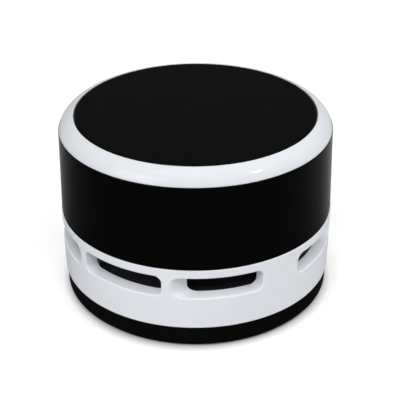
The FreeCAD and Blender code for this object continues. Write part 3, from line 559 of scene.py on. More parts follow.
@dataclass(frozen=True)
class Plastic(Finish):
    """A moulded plastic: slow drift of tint and gloss, fine mould texture and faint waviness of its skin."""

    roughness: float
    gloss_drift: float = 0.03
    tint_drift: float = 0.04
    grain: float = 0.16 * MM
    grain_depth: float = 0.002 * MM
    wave: float = 9 * MM
    wave_depth: float = 0.0
    specular: float = 0.5
    coat: float = 0.0
    coat_roughness: float = 0.05

    def gloss(self, desk: NodeDesk) -> Socket:
        """The roughness, drifting in clouds about its value."""
        return desk.spread(desk.noise(GLOSS_CLOUD, detail=5), self.roughness - self.gloss_drift,
                           self.roughness + self.gloss_drift)

    def dress(self, desk: NodeDesk) -> None:
        """Lays clouds of tint and gloss, and the grain on the waves.

        Args:
            desk: The material's nodes.
        """
        cloud = desk.spread(desk.noise(CLOUD, detail=4), 0, 1)
        dark, light = shaded(self.tint, 1 - self.tint_drift), shaded(self.tint, 1 + self.tint_drift)
        waves = desk.relief(desk.noise(self.wave, detail=1), self.wave_depth) if self.wave_depth else None
        skin = desk.relief(desk.noise(self.grain, detail=2), self.grain_depth, waves)
        desk.feed(desk.blend(cloud, dark, light), self.gloss(desk), skin)
        desk.fixed(Specular_IOR_Level=self.specular, Coat_Weight=self.coat,
                   Coat_Roughness=self.coat_roughness)


@dataclass(frozen=True)
class CutDisc(Plastic):
    """A satin plastic disc whose cut rim, beyond a radius, is smoother than its face."""

    rim_start: float = 36.98 * MM
    rim_blend: float = 0.04 * MM
    rim_roughness: float = 0.15

    def gloss(self, desk: NodeDesk) -> Socket:
        """The roughness, from the face's to the rim's.

        Args:
            desk: The material's nodes.

        Returns:
            The roughness.
        """
        edge = desk.spread(desk.reach((1, 1, 0)), 0, 1, self.rim_start, self.rim_start + self.rim_blend)
        rim = desk.node("ShaderNodeMapRange", {"Value": edge, "To Min": super().gloss(desk)},
                        To_Max=self.rim_roughness)
        return rim.outputs["Result"]


@dataclass(frozen=True)
class Metal(Finish):
    """A worked metal: streaks of the tool along one axis, and tarnish in slow clouds."""

    roughness: float
    streak: tuple[float, float, float] = (1.0, 1.0, 0.08)
    streak_size: float = 0.25 * MM
    streak_depth: float = 0.004 * MM
    tarnish: float = 0.15
    gloss_range: tuple[float, float] = (0.8, 1.25)

    def dress(self, desk: NodeDesk) -> None:
        """Lays the tarnish and the streaks.

        Args:
            desk: The material's nodes.
        """
        streaks = desk.noise(self.streak_size, detail=3, vector=desk.stretched(self.streak))
        cloud = desk.spread(desk.noise(TARNISH_CLOUD, detail=5), 0, 1)
        low, high = (self.roughness * share for share in self.gloss_range)
        desk.feed(desk.blend(cloud, shaded(self.tint, 1 - self.tarnish), self.tint),
                  desk.spread(streaks, low, high), desk.relief(streaks, self.streak_depth))
        desk.fixed(Metallic=1.0)


@dataclass(frozen=True)
class Layered(Finish):
    """A stack of thin layers or turns of wire: even bands along one axis, darkened in the grooves between
    them, a painted shade.
    """

    painted_groove_shade: Colour
    pitch: float
    axis: str = "Z"
    roughness: float = 0.35
    depth: float = 0.05 * MM
    gloss_range: tuple[float, float] = (0.8, 1.3)
    band_range: tuple[float, float] = (0.1, 0.6)

    def dress(self, desk: NodeDesk) -> None:
        """Lays the bands and the painted shade between them.

        Args:
            desk: The material's nodes.
        """
        bands = desk.node("ShaderNodeTexWave", {"Vector": desk.coordinates}, bands_direction=self.axis,
                          Scale=WAVE_SCALE / self.pitch, Distortion=0.4, Detail=2.0, Detail_Scale=1.5)
        height = bands.outputs["Fac"]
        low, high = (self.roughness * share for share in self.gloss_range)
        # Painted shade: the colour darkens where the bands' height is low, in the grooves between them.
        desk.feed(desk.blend(desk.spread(height, 0, 1, *self.band_range), self.painted_groove_shade, self.tint),
                  desk.spread(desk.noise(LAYER_CLOUD), low, high), desk.relief(height, self.depth))
        desk.fixed(Metallic=1.0)


@dataclass(frozen=True)
class Sleeve(Finish):
    """The shrunk sleeve of a cell: a plain wrap with a lighter band at the button end and faint wrinkles."""

    band: Colour
    band_reach: float
    band_blend: float = 0.1 * MM
    wrinkle: float = 1.2 * MM
    wrinkle_depth: float = 0.02 * MM
    roughness: tuple[float, float] = (0.18, 0.34)

    def dress(self, desk: NodeDesk) -> None:
        """Lays the band, which lies at +X on the rear cell and at -X on the front one, and the wrinkles.

        Args:
            desk: The material's nodes.
        """
        x, y, _ = desk.split(desk.coordinates)
        along = desk.math("MULTIPLY", x, desk.math("SIGN", y))
        edge = desk.spread(along, 0, 1, self.band_reach, self.band_reach + self.band_blend)
        wrinkles = desk.noise(self.wrinkle, detail=3, vector=desk.stretched((0.15, 1, 1)))
        desk.feed(desk.blend(edge, self.tint, self.band),
                  desk.spread(desk.noise(SLEEVE_CLOUD), *self.roughness),
                  desk.relief(wrinkles, self.wrinkle_depth))
        desk.fixed(Coat_Weight=0.3, Coat_Roughness=0.12)


@dataclass(frozen=True)
class Soft(Finish):
    """A soft matter such as foam or bristles: open cells or fibres, dull, with a faint sheen, and painted
    shade where the cells or fibres are low.
    """

    cell: float
    depth: float
    stretch: tuple[float, float, float] = (1.0, 1.0, 1.0)
    sheen: float = 0.3
    painted_pore_shades: tuple[float, float] = (0.45, 1.25)
    roughness: tuple[float, float] = (0.75, 0.95)

    def dress(self, desk: NodeDesk) -> None:
        """Lays the cells or fibres, with painted shade in the pores and between the fibres.

        Args:
            desk: The material's nodes.
        """
        pores = desk.node("ShaderNodeTexVoronoi", {"Vector": desk.stretched(self.stretch)},
                          Scale=1 / self.cell)
        height = desk.spread(pores.outputs["Distance"], 0, 1, 0.0, 0.7)
        # Painted shade: the colour darkens where the pores' height is low, in the pores and between fibres.
        desk.feed(desk.blend(height, *(shaded(self.tint, share) for share in self.painted_pore_shades)),
                  desk.spread(desk.noise(WEAVE_CLOUD), *self.roughness), desk.relief(height, self.depth))
        desk.fixed(Sheen_Weight=self.sheen, Sheen_Roughness=0.4)


@dataclass(frozen=True)
class Woven(Finish):
    """A fine square weave: two wave patterns across each other, high where a thread crosses over, with
    painted shade in the gaps between the threads.
    """

    pitch: float
    depth: float
    painted_gap_shade: float = 0.2
    thread_range: tuple[float, float] = (0.2, 0.9)
    roughness: tuple[float, float] = (0.55, 0.75)

    def dress(self, desk: NodeDesk) -> None:
        """Lays the two threads.

        Args:
            desk: The material's nodes.
        """
        threads = [desk.node("ShaderNodeTexWave", {"Vector": desk.coordinates}, bands_direction=way,
                             Scale=WAVE_SCALE / self.pitch).outputs["Fac"] for way in ("X", "Y")]
        height = desk.math("MAXIMUM", *threads)
        crossing = desk.spread(height, 0, 1, *self.thread_range)
        # Painted shade: the colour darkens where the threads are low, in the gaps between them.
        desk.feed(desk.blend(crossing, shaded(self.tint, self.painted_gap_shade), self.tint),
                  desk.spread(desk.noise(WEAVE_CLOUD), *self.roughness), desk.relief(height, self.depth))


BLACK_GLOSS = Plastic("black_gloss", (0.0015, 0.0015, 0.0015), 0.09, 0.015, 0.1, 0.5 * MM, 0.0001 * MM,
                      12 * MM, 0.004 * MM)
WHITE_GLOSS = Plastic("white_gloss", (0.64, 0.662, 0.69), 0.12, 0.02, 0.01, 0.5 * MM, 0.0002 * MM, 14 * MM,
                      0.004 * MM, specular=0.35)
WHITE_SATIN = Plastic("white_satin", (0.785, 0.812, 0.852), 0.46, 0.05, 0.012, 0.14 * MM, 0.0025 * MM)
BLACK_SATIN = CutDisc("black_satin", (0.002, 0.002, 0.002), 0.42, 0.04, 0.1, 0.12 * MM, 0.0015 * MM,
                      specular=0.14)
BLACK_CUP = Plastic("black_cup", (0.0025, 0.0025, 0.0025), 0.36, 0.05, 0.1, 0.14 * MM, 0.002 * MM,
                    specular=0.35)
KNOB = Plastic("knob", (0.76, 0.76, 0.75), 0.4, 0.05, 0.015, 0.12 * MM, 0.002 * MM)
INNER_PLASTIC = Plastic("inner_plastic", (0.02, 0.02, 0.021), 0.55, 0.06, 0.1, 0.2 * MM, 0.004 * MM)
FAN_PLASTIC = Plastic("fan_plastic", (0.045, 0.045, 0.048), 0.48, 0.06, 0.08, 0.2 * MM, 0.003 * MM)
FILTER_PLASTIC = Plastic("filter_plastic", (0.30, 0.31, 0.32), 0.5, 0.05, 0.04, 0.18 * MM, 0.003 * MM)
END_CAP = Plastic("end_cap", (0.66, 0.64, 0.58), 0.42, 0.05, 0.04, 0.2 * MM, 0.003 * MM)
RED_WIRE = Plastic("red_wire", (0.45, 0.015, 0.012), 0.38, 0.05, 0.06, 0.3 * MM, 0.002 * MM, coat=0.1)
BLACK_WIRE = Plastic("black_wire", (0.012, 0.012, 0.012), 0.38, 0.05, 0.06, 0.3 * MM, 0.002 * MM, coat=0.1)
CAN_STEEL = Metal("can_steel", (0.62, 0.62, 0.60), 0.32)
SCREW_STEEL = Metal("screw_steel", (0.58, 0.58, 0.60), 0.3, (1.0, 1.0, 1.0), 0.3 * MM, 0.006 * MM)
SHAFT_STEEL = Metal("shaft_steel", (0.66, 0.66, 0.68), 0.16, (0.1, 0.1, 1.0), 0.1 * MM, 0.002 * MM, 0.05)
BRONZE = Metal("bronze", (0.46, 0.30, 0.16), 0.5, (1.0, 1.0, 1.0), 0.15 * MM, 0.01 * MM)
SPRING_BRASS = Metal("spring_brass", (0.72, 0.53, 0.27), 0.28, (0.08, 1.0, 1.0))
CONTACT_NICKEL = Metal("contact_nickel", (0.68, 0.66, 0.62), 0.22, (1.0, 0.08, 1.0), 0.2 * MM, 0.003 * MM)
MAGNET = Plastic("magnet", (0.03, 0.03, 0.032), 0.62, 0.08, 0.15, 0.12 * MM, 0.012 * MM)
CORE_STEEL = Layered("core_steel", (0.34, 0.34, 0.36), (0.04, 0.04, 0.045), 0.5 * MM)
COPPER = Layered("copper", (0.62, 0.24, 0.09), (0.12, 0.03, 0.01), 0.35 * MM)
COPPER_SEGMENTS = Metal("copper_segments", (0.70, 0.36, 0.20), 0.3, (0.1, 0.1, 1.0))
CELL_SLEEVE = Sleeve("cell_sleeve", (0.035, 0.11, 0.06), (0.55, 0.36, 0.16), 12 * MM)
FOAM = Soft("foam", (0.035, 0.035, 0.037), 0.35 * MM, 0.12 * MM)
BRISTLE = Soft("bristle", (0.035, 0.035, 0.037), 0.3 * MM, 0.03 * MM, (1.0, 1.0, 0.1), 0.15)
FILTER_MESH = Woven("filter_mesh", (0.50, 0.51, 0.51), 0.6 * MM, 0.1 * MM)

FINISHES = {finish.slot: finish for finish in (
    BLACK_GLOSS, WHITE_GLOSS, WHITE_SATIN, BLACK_SATIN, BLACK_CUP, KNOB, INNER_PLASTIC, FAN_PLASTIC,
    FILTER_PLASTIC, END_CAP, RED_WIRE, BLACK_WIRE, CAN_STEEL, SCREW_STEEL, SHAFT_STEEL, BRONZE, SPRING_BRASS,
    CONTACT_NICKEL, MAGNET, CORE_STEEL, COPPER, COPPER_SEGMENTS, CELL_SLEEVE, FOAM, BRISTLE, FILTER_MESH)}


class Finishes:
    """The materials of this part by slot, each made once."""

    def __init__(self) -> None:
        """Starts with no material made."""
        self.made: dict[str, Material] = {}

    def of(self, slot: str) -> Material:
        """The material of a slot.

        Args:
            slot: The record's material slot.

        Returns:
            The material, made at the first call.
        """
        if slot not in self.made:
            self.made[slot] = FINISHES[slot].material()
        return self.made[slot]


# Shells of the outside


def radii(points: Array) -> Array:
    """Distance of each point from the Z axis."""
    return np.hypot(points[:, 0], points[:, 1])


def inner_side(node: str, outline: Array, edge: float, spread: float = 0.09 * MM) -> Surface:
    """A CAD node's own surface without its skin, and with its outer rims drawn in to meet a rounded edge.

    A triangle belongs to the skin where its middle lies on the outline of the skin, as radius and height,
    and not on the level of either end. A corner at the outline's sharp end is moved back by the edge radius.

    Args:
        node: Name of the CAD node.
        outline: Dense points of the skin, as rows of radius and height, with its sharp ends.
        edge: Radius of the skin's rounded edges.
        spread: Distance within which a triangle counts as on the skin.

    Returns:
        Points and triangles.
    """
    points, faces = node_surface(node)
    middles = points[faces].mean(axis=1)
    flat = np.stack([radii(middles), middles[:, 2]], axis=1)
    gap = np.linalg.norm(flat[:, None] - outline[None], axis=2).min(axis=1)
    ends = outline[[0, -1], 1]
    level = np.abs(middles[:, 2:3] - ends[None]).min(axis=1) < SAME_LEVEL
    kept = faces[~((gap < spread) & ~level)]
    moved = points.copy()
    reach = radii(points)
    for radius, height in outline[[0, -1]]:
        rim = (np.abs(points[:, 2] - height) < SAME_LEVEL) & (np.abs(reach - radius) < SAME_RADIUS)
        moved[rim, :2] *= ((reach[rim] - edge) / reach[rim])[:, None]
    return moved, kept


def dense(path: Array, spacing: float = 0.04 * MM) -> Array:
    """The path with more points.

    Args:
        path: Points as rows of radius and height.
        spacing: Largest distance between two points.

    Returns:
        Points as rows of radius and height.
    """
    steps = np.maximum(1, np.ceil(np.linalg.norm(np.diff(path, axis=0), axis=1) / spacing)).astype(int)
    runs = [np.linspace(a, b, count, endpoint=False) for a, b, count in zip(path, path[1:], steps)]
    return np.vstack(runs + [path[-1:]])


@dataclass
class OpenPatch:
    """A patch of a turned shell with one rounded opening, made of loops that close in from its border.

    The opening is a rounded rectangle of a share across, 0 at its first side wall and 1 at its second, and
    a level. The outer loops blend between the border and the opening grown by the rim. Then the rim turns
    inwards on the curve (1-s)^2 A + 2 s (1-s) B + s^2 C, from A on the skin over the sharp corner B to C on
    the wall, and the wall runs on.
    """

    start: float
    end: float
    low: float
    high: float
    opening_low: float
    opening_high: float
    width: float
    corner_height: float
    first_corner: float
    second_corner: float
    rim: float
    depth: float
    radius_at: Callable[[Array], Array]
    angle_at: Callable[[Array, Array], Array]
    wall_at: Callable[[Array, Array, float], Array]
    side_steps: int = 24
    rise_steps: int = 8
    corner_steps: int = 12
    rim_steps: int = 8
    wall_steps: int = 4
    loop_shares: tuple[float, ...] = (0, 0.22, 0.42, 0.6, 0.75, 0.87, 0.96, 1)

    def columns(self) -> Array:
        """Angles of the points on the border's lower and upper run."""
        return np.linspace(self.start, self.end, self.side_steps + self.corner_steps + 1)

    def rows(self) -> Array:
        """Levels of the points on the border's sides."""
        return np.linspace(self.low, self.high, self.rise_steps + self.corner_steps + 1)

    def loop(self, grow: float) -> tuple[Array, Array]:
        """The opening's contour, grown outwards by a length.

        Args:
            grow: How far the contour is moved outwards.

        Returns:
            Share across and level of each point, counter-clockwise from the middle of the first low corner.
        """
        spread = grow / self.width
        first, second = (self.first_corner + grow) / self.width, (self.second_corner + grow) / self.width
        rise = self.corner_height + grow
        low, high = self.opening_low - grow, self.opening_high + grow
        turn = np.linspace(0, math.pi / 2, self.corner_steps + 1)
        bends = []
        for across, level, width, begin in (
                (first - spread, low + rise, first, math.pi),
                (1 + spread - second, low + rise, second, 1.5 * math.pi),
                (1 + spread - second, high - rise, second, 0.0),
                (first - spread, high - rise, first, math.pi / 2)):
            angle = begin + turn
            bends.append(np.stack([across + width * np.cos(angle), level + rise * np.sin(angle)], axis=1))
        half = self.corner_steps // 2
        low_first, low_second, high_second, high_first = bends
        runs = [low_first[half:]]
        for before, after, steps in ((low_first, low_second, self.side_steps),
                                     (low_second, high_second, self.rise_steps),
                                     (high_second, high_first, self.side_steps)):
            runs += [np.linspace(before[-1], after[0], steps + 1)[1:-1], after]
        runs += [np.linspace(high_first[-1], low_first[0], self.rise_steps + 1)[1:-1], low_first[:half]]
        contour = np.vstack(runs)
        return contour[:, 0], contour[:, 1]

    def border(self) -> tuple[Array, Array]:
        """The border's points, in step with the contour's.

        Returns:
            Angle and level of each point.
        """
        across = np.linspace(0, 1, self.side_steps + self.corner_steps + 1)[:-1]
        rise = np.linspace(0, 1, self.rise_steps + self.corner_steps + 1)[:-1]
        share = np.concatenate([across, np.ones_like(rise), 1 - across, np.zeros_like(rise)])
        lift = np.concatenate([np.zeros_like(across), rise, np.ones_like(across), 1 - rise])
        return self.start + share * (self.end - self.start), self.low + lift * (self.high - self.low)

    def on_skin(self, angle: Array, level: Array) -> Array:
        """The point of the outer skin at each angle and level."""
        radius = self.radius_at(level)
        return np.stack([radius * np.cos(angle), radius * np.sin(angle), level], axis=-1)

    def surface(self) -> Surface:
        """The patch from its border to the inner end of the opening's wall.

        Returns:
            Points and quads.
        """
        border_angle, border_level = self.border()
        share, level = self.loop(self.rim)
        angle = self.angle_at(share, level)
        loops = []
        for mix in self.loop_shares:
            loops.append(self.on_skin(border_angle + mix * (angle - border_angle),
                                      border_level + mix * (level - border_level)))
        outer = loops[-1]
        edge_share, edge_level = self.loop(0)
        tip = self.on_skin(self.angle_at(edge_share, edge_level), edge_level)
        inner = self.wall_at(edge_share, edge_level, self.rim / self.depth)
        for s in np.linspace(0, 1, self.rim_steps + 1)[1:]:
            loops.append((1 - s) ** 2 * outer + 2 * s * (1 - s) * tip + s ** 2 * inner)
        for s in np.linspace(self.rim / self.depth, 1, self.wall_steps + 1)[1:]:
            loops.append(self.wall_at(edge_share, edge_level, float(s)))
        points = np.stack(loops)
        return points.reshape(-1, 3), grid_faces(len(loops), points.shape[1], True)


@dataclass
class TaperedShell:
    """A turned shell of the housing: a straight tapered skin, rounded edges and openings with rounded rims.

    A triangle of the CAD node counts as on the wall of an opening where its middle lies inside the opening's
    outline grown by the slack, and further out than the bore or the floor by the clearance.
    """

    node: str
    piece: str
    slot: str
    draft: float
    wall: float
    edge: float
    slack: float
    clear: float = 0.03 * MM
    bottom: float = field(init=False)
    top: float = field(init=False)
    widest: float = field(init=False)

    def __post_init__(self) -> None:
        """Reads the shell's place from the frame."""
        low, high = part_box(self.node)
        self.bottom, self.top, self.widest = low.z, high.z, high.x

    def radius_at(self, level: Array) -> Array:
        """Outer radius at each level; each shell has its own taper."""
        raise NotImplementedError(self.node)

    def in_opening(self, middles: Array) -> Array:
        """Whether each point lies on the wall of an opening; each shell has its own openings."""
        raise NotImplementedError(self.node)

    def surface(self) -> Surface:
        """The whole shell; each shell has its own patches."""
        raise NotImplementedError(self.node)

    def plain(self, patch: OpenPatch, angles: Array) -> Surface:
        """A stretch of the skin without an opening, with the rows of a patch beside it."""
        rows = patch.rows()
        return lathe(np.stack([self.radius_at(rows), rows], axis=1), angles, closed=False)

    def closing(self, angles: Array) -> list[Surface]:
        """What closes the shell: its rounded edges and the CAD node's inner side without walls of openings.

        Args:
            angles: Angles of the skin's points, which the edges meet.

        Returns:
            The lower edge, the upper edge and the inner side.
        """
        turned = np.unique(np.round(angles % FULL_TURN, 9))
        foot, crown = (float(self.radius_at(np.array(level))) for level in (self.bottom, self.top))
        inside = min(foot, crown) - self.wall
        low, high = (foot, self.bottom), (crown, self.top)
        low_edge = corner((inside, self.bottom), low, high, self.edge)
        high_edge = corner(low, high, (inside, self.top), self.edge)
        points, faces = inner_side(self.node, dense(np.array([low, high])), self.edge)
        walls = self.in_opening(points[faces].mean(axis=1))
        return [lathe(low_edge, turned), lathe(high_edge, turned), (points, faces[~walls])]

    def build(self, finishes: Finishes) -> None:
        """Builds and dresses the shell in place of its CAD node."""
        piece = weighted(mesh_object(self.piece, self.surface()))
        seat_piece(piece, Body.HOUSING, finishes.of(self.slot), [self.node])


@dataclass
class VentRing(TaperedShell):
    """The white ring with the long outlet slots, which are pulled to both sides of the mould.

    Each slot's wall next to the pull direction is parallel to it and the other one is radial.
    """

    node: str = "vent_ring"
    piece: str = "vent_ring_shell"
    slot: str = "white_satin"
    draft: float = 0.35 * MM
    wall: float = 3.8 * MM
    edge: float = 0.22 * MM
    slack: float = 0.1 * MM
    span: float = 37.7 * DEGREE
    rib: float = 3.7 * DEGREE
    sill: float = 10.6 * MM
    slot_height: float = 6.8 * MM
    slot_corner: float = 2.3 * MM
    rim: float = 0.5 * MM
    overrun: float = 0.05 * MM
    plain_steps: int = 10
    slot_steps: int = 36
    inner: float = field(init=False)

    def __post_init__(self) -> None:
        """Reads the ring's place from the frame."""
        super().__post_init__()
        self.inner = self.widest - self.draft - self.wall

    def radius_at(self, level: Array) -> Array:
        """Outer radius at each level, on a taper that widens upwards."""
        share = (level - self.bottom) / (self.top - self.bottom)
        return self.widest - self.draft * (1 - share)

    def slot_patch(self, middle: float) -> OpenPatch:
        """The patch of one slot.

        Args:
            middle: Angle of the slot's middle from the pull direction.

        Returns:
            The patch, a pitch wide.
        """
        near, far = middle - self.span / 2, middle + self.span / 2
        wall_y = self.widest * math.sin(near)
        inner = self.inner - self.overrun

        def across(radius: Array, share: Array) -> Array:
            """Angle of a share across the slot, from arcsin(wall y / radius) to the radial wall."""
            first = np.arcsin(wall_y / radius)
            return first + share * (far - first)

        def angle_at(share: Array, level: Array) -> Array:
            """Angle of a share across the slot on the outer skin."""
            return across(self.radius_at(level), share)

        def wall_at(share: Array, level: Array, depth_share: float) -> Array:
            """Point of the slot's wall.

            Args:
                share: Share across the slot.
                level: Level of the point.
                depth_share: Share of the way from the skin to the inner bore.

            Returns:
                The points.
            """
            radius = self.radius_at(level) * (1 - depth_share) + inner * depth_share
            angle = across(radius, share)
            return np.stack([radius * np.cos(angle), radius * np.sin(angle), level], axis=-1)

        half_pitch = (self.span + self.rib) / 2
        return OpenPatch(
            start=middle - half_pitch, end=middle + half_pitch, low=self.bottom + self.edge,
            high=self.top - self.edge, opening_low=self.bottom + self.sill,
            opening_high=self.bottom + self.sill + self.slot_height, width=self.widest * self.span,
            corner_height=self.slot_corner, first_corner=self.slot_corner / math.cos(near),
            second_corner=self.slot_corner, rim=self.rim, depth=self.widest - inner,
            radius_at=self.radius_at, angle_at=angle_at, wall_at=wall_at, side_steps=self.slot_steps)

    def surface(self) -> Surface:
        """The whole ring: eight slot patches, two plain stretches, and what closes it.

        Returns:
            Points and faces.
        """
        pitch = self.span + self.rib
        patches = [self.slot_patch(pitch / 2), self.slot_patch(1.5 * pitch)]
        quarter = [patch.surface() for patch in patches]
        half = quarter + [mirrored(surface) for surface in quarter]
        gap = np.linspace(2 * pitch, math.pi - 2 * pitch, self.plain_steps + 1)
        plain = self.plain(patches[0], gap)
        right = np.concatenate([patch.columns() for patch in patches] + [gap])
        upper = np.concatenate([right, math.pi - right])
        return joined(half + [half_turned(surface) for surface in half] + [plain, half_turned(plain)]
                      + self.closing(np.concatenate([upper, upper + math.pi])))

    def in_opening(self, middles: Array) -> Array:
        """Whether each point lies on the wall of a slot.

        Args:
            middles: Middles of the CAD node's triangles.

        Returns:
            True where it does.
        """
        low = self.bottom + self.sill - self.slack
        level = middles[:, 2]
        in_height = (level > low) & (level < low + self.slot_height + 2 * self.slack)
        return in_height & (radii(middles) > self.inner + self.clear)


@dataclass
class Band(TaperedShell):
    """The glossy black band, with the recess of the power switch at the rear."""

    node: str = "main_housing"
    piece: str = "band_shell"
    slot: str = "black_gloss"
    draft: float = 0.5 * MM
    wall: float = 2.2 * MM
    edge: float = 0.18 * MM
    slack: float = 0.05 * MM
    recess_width: float = 18.0 * MM
    recess_height: float = 9.6 * MM
    recess_depth: float = 1.9 * MM
    recess_corner: float = 2.0 * MM
    recess_rise: float = 13.6 * MM
    rim: float = 0.35 * MM
    patch_half: float = 21 * DEGREE
    plain_steps: int = 299
    floor: float = field(init=False)
    recess_level: float = field(init=False)

    def __post_init__(self) -> None:
        """Reads the band's place from the frame."""
        super().__post_init__()
        self.floor = self.widest - self.recess_depth
        self.recess_level = self.bottom + self.recess_rise

    def radius_at(self, level: Array) -> Array:
        """Outer radius at each level, on a taper that narrows upwards."""
        return self.widest - self.draft * (level - self.bottom) / (self.top - self.bottom)

    def recess_patch(self) -> OpenPatch:
        """The patch of the switch recess, whose walls run parallel to Y.

        Returns:
            The patch.
        """
        def across(share: Array) -> Array:
            """X of a share across the recess, whose first side is on +X."""
            return self.recess_width * (0.5 - share)

        def angle_at(share: Array, height: Array) -> Array:
            """Angle of a share across the recess on the outer skin."""
            return np.arccos(across(share) / self.radius_at(height))

        def wall_at(share: Array, height: Array, depth_share: float) -> Array:
            """Point of the recess wall.

            Args:
                share: Share across the recess.
                height: Level of the point.
                depth_share: Share of the way from the skin to the floor.

            Returns:
                The points.
            """
            x = across(share)
            skin = np.sqrt(self.radius_at(height) ** 2 - x ** 2)
            depth = np.minimum(self.recess_depth * depth_share, skin - self.floor)
            return np.stack([x, skin - depth, height], axis=-1)

        rear, half_height = math.pi / 2, self.recess_height / 2
        return OpenPatch(
            start=rear - self.patch_half, end=rear + self.patch_half, low=self.bottom + self.edge,
            high=self.top - self.edge, opening_low=self.recess_level - half_height,
            opening_high=self.recess_level + half_height, width=self.recess_width,
            corner_height=self.recess_corner, first_corner=self.recess_corner,
            second_corner=self.recess_corner, rim=self.rim, depth=self.recess_depth,
            radius_at=self.radius_at, angle_at=angle_at, wall_at=wall_at,
            side_steps=30, rise_steps=14, corner_steps=8)

    def surface(self) -> Surface:
        """The whole band: the recess patch, the plain rest, and what closes it.

        Returns:
            Points and faces.
        """
        patch = self.recess_patch()
        rest = np.linspace(patch.end, patch.start + FULL_TURN, self.plain_steps + 1)
        return joined([patch.surface(), self.plain(patch, rest)]
                      + self.closing(np.concatenate([patch.columns(), rest])))

    def in_opening(self, middles: Array) -> Array:
        """Whether each point lies on a wall of the recess.

        Args:
            middles: Middles of the CAD node's triangles.

        Returns:
            True where it does.
        """
        beside = np.abs(middles[:, 0]) < self.recess_width / 2 + self.slack
        in_height = np.abs(middles[:, 2] - self.recess_level) < self.recess_height / 2 + self.slack
        return beside & in_height & (middles[:, 1] > self.floor + self.clear)


@dataclass
class Lid:
    """The white lid ring with its rounded shoulder, and the black disc that lies in it."""

    node: str = "lid_ring"
    disc_node: str = "top_plate"
    bulge: float = 0.8 * MM
    edge: float = 0.12 * MM
    disc_bevel: float = 0.35 * MM
    disc_edge: float = 0.1 * MM
    film_inset: float = 1.3 * MM
    film_step: float = 0.05 * MM
    film_edge: float = 0.03 * MM
    disc_gap: float = 0.15 * MM
    pad_node: str = "battery_pads"
    pad_rows: int = 25
    pad_columns: int = 120
    pad_rim_power: float = 0.25
    pad_end_power: float = 0.18
    pad_side_power: float = 0.28
    pad_face_power: float = 0.45
    arc_steps: int = 40
    segments: int = 360

    def ring_surface(self) -> Surface:
        """The lid's skin from its seam over the sloping shoulder to the disc, and the CAD node's inner side.

        The shoulder is the arc from the seam to the disc whose middle stands out from the straight slope by
        the bulge.

        Returns:
            Points and faces.
        """
        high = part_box(self.node)[1]
        disc_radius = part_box(self.disc_node)[1].x + self.disc_gap
        seam = np.array([high.x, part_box("main_housing")[1].z])
        crown = np.array([disc_radius, high.z])
        slope = crown - seam
        length = float(np.linalg.norm(slope))
        outwards = np.array([slope[1], -slope[0]]) / length
        radius = (length ** 2 / 4 + self.bulge ** 2) / (2 * self.bulge)
        middle = (seam + crown) / 2 + outwards * (self.bulge - radius)
        half = math.asin(length / 2 / radius)
        facing = math.atan2(outwards[1], outwards[0])
        angle = np.linspace(facing - half, facing + half, self.arc_steps + 1)
        arc = middle + radius * np.stack([np.cos(angle), np.sin(angle)], axis=1)
        below = corner((disc_radius, seam[1]), arc[0], arc[2], self.edge, 4)
        above = corner(arc[-3], arc[-1], (disc_radius, seam[1]), self.edge, 5)
        path = np.vstack([below, arc[2:-2], above])
        points, faces = inner_side(self.node, dense(arc), 0)
        reach, level = radii(points), points[:, 2].copy()
        seam_rim = (np.abs(level - seam[1]) < SAME_LEVEL) & (reach > high.x - SAME_RADIUS)
        points[seam_rim, :2] *= below[0][0] / high.x
        crown_rim = (np.abs(level - high.z) < SAME_LEVEL) & (reach < disc_radius + SAME_RADIUS)
        points[crown_rim, 2] = above[-1][1]
        return joined([lathe(path, even_turn(self.segments)), (points, faces)])

    def disc_surface(self) -> Surface:
        """The disc: flat underside, upright rim, fine bevel, and a thin film that stops short of the rim.

        Returns:
            Points and quads.
        """
        low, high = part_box(self.disc_node)
        rim, top = high.x, high.z
        film, face = rim - self.film_inset, top - self.film_step
        points = [(0, low.z), (rim, low.z), (rim, top - self.disc_bevel), (rim - self.disc_bevel, face),
                  (film, face), (film - self.film_step, top), (0, top)]
        path = rounded_path(points, [self.disc_edge] * 3 + [self.film_edge] * 2, 5)
        return lathe(path, even_turn(self.segments))

    def pad_surface(self, side: int) -> Surface:
        """One foam pad: a superellipse body whose corners are soft.

        A point is centre + half sizes times signed powers of cos and sin.

        Args:
            side: -1 for the front pad and 1 for the rear one.

        Returns:
            Points and quads.
        """
        low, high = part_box(self.pad_node)
        outer, inner = high.y, self.pad_inner()
        middle_y, half_y = side * (outer + inner) / 2, (outer - inner) / 2
        middle_z, half_z = (low.z + high.z) / 2, (high.z - low.z) / 2
        u = np.linspace(-math.pi / 2, math.pi / 2, self.pad_rows)[:, None]
        v = even_turn(self.pad_columns)[None, :]
        ring = signed_power(np.cos(u), self.pad_rim_power)
        x = high.x * ring * signed_power(np.cos(v), self.pad_end_power)
        y = half_y * ring * signed_power(np.sin(v), self.pad_side_power)
        z = half_z * signed_power(np.sin(u), self.pad_face_power) * np.ones_like(v)
        points = np.stack([x, middle_y + y, middle_z + z], axis=-1)
        return points.reshape(-1, 3), grid_faces(self.pad_rows, self.pad_columns, True)

    def pad_inner(self) -> float:
        """The pads' inner side in Y, from the CAD node's points nearest the middle."""
        points, _ = node_surface(self.pad_node)
        return float(np.abs(points[:, 1]).min())

    def build(self, finishes: Finishes) -> None:
        """Builds and dresses the ring, the disc and the pads in place of their CAD nodes.

        Args:
            finishes: The part's materials.
        """
        ring = weighted(mesh_object("lid_shell", self.ring_surface()))
        seat_piece(ring, Body.LID, finishes.of("white_gloss"), [self.node])
        disc = weighted(mesh_object("top_disc", self.disc_surface()))
        seat_piece(disc, Body.LID, finishes.of("black_satin"), [self.disc_node])
        for side, name in ((-1, "front"), (1, "rear")):
            pad = mesh_object(f"{name}_pad", self.pad_surface(side))
            seat_piece(pad, Body.LID, finishes.of("foam"), [self.pad_node] if side < 0 else [])


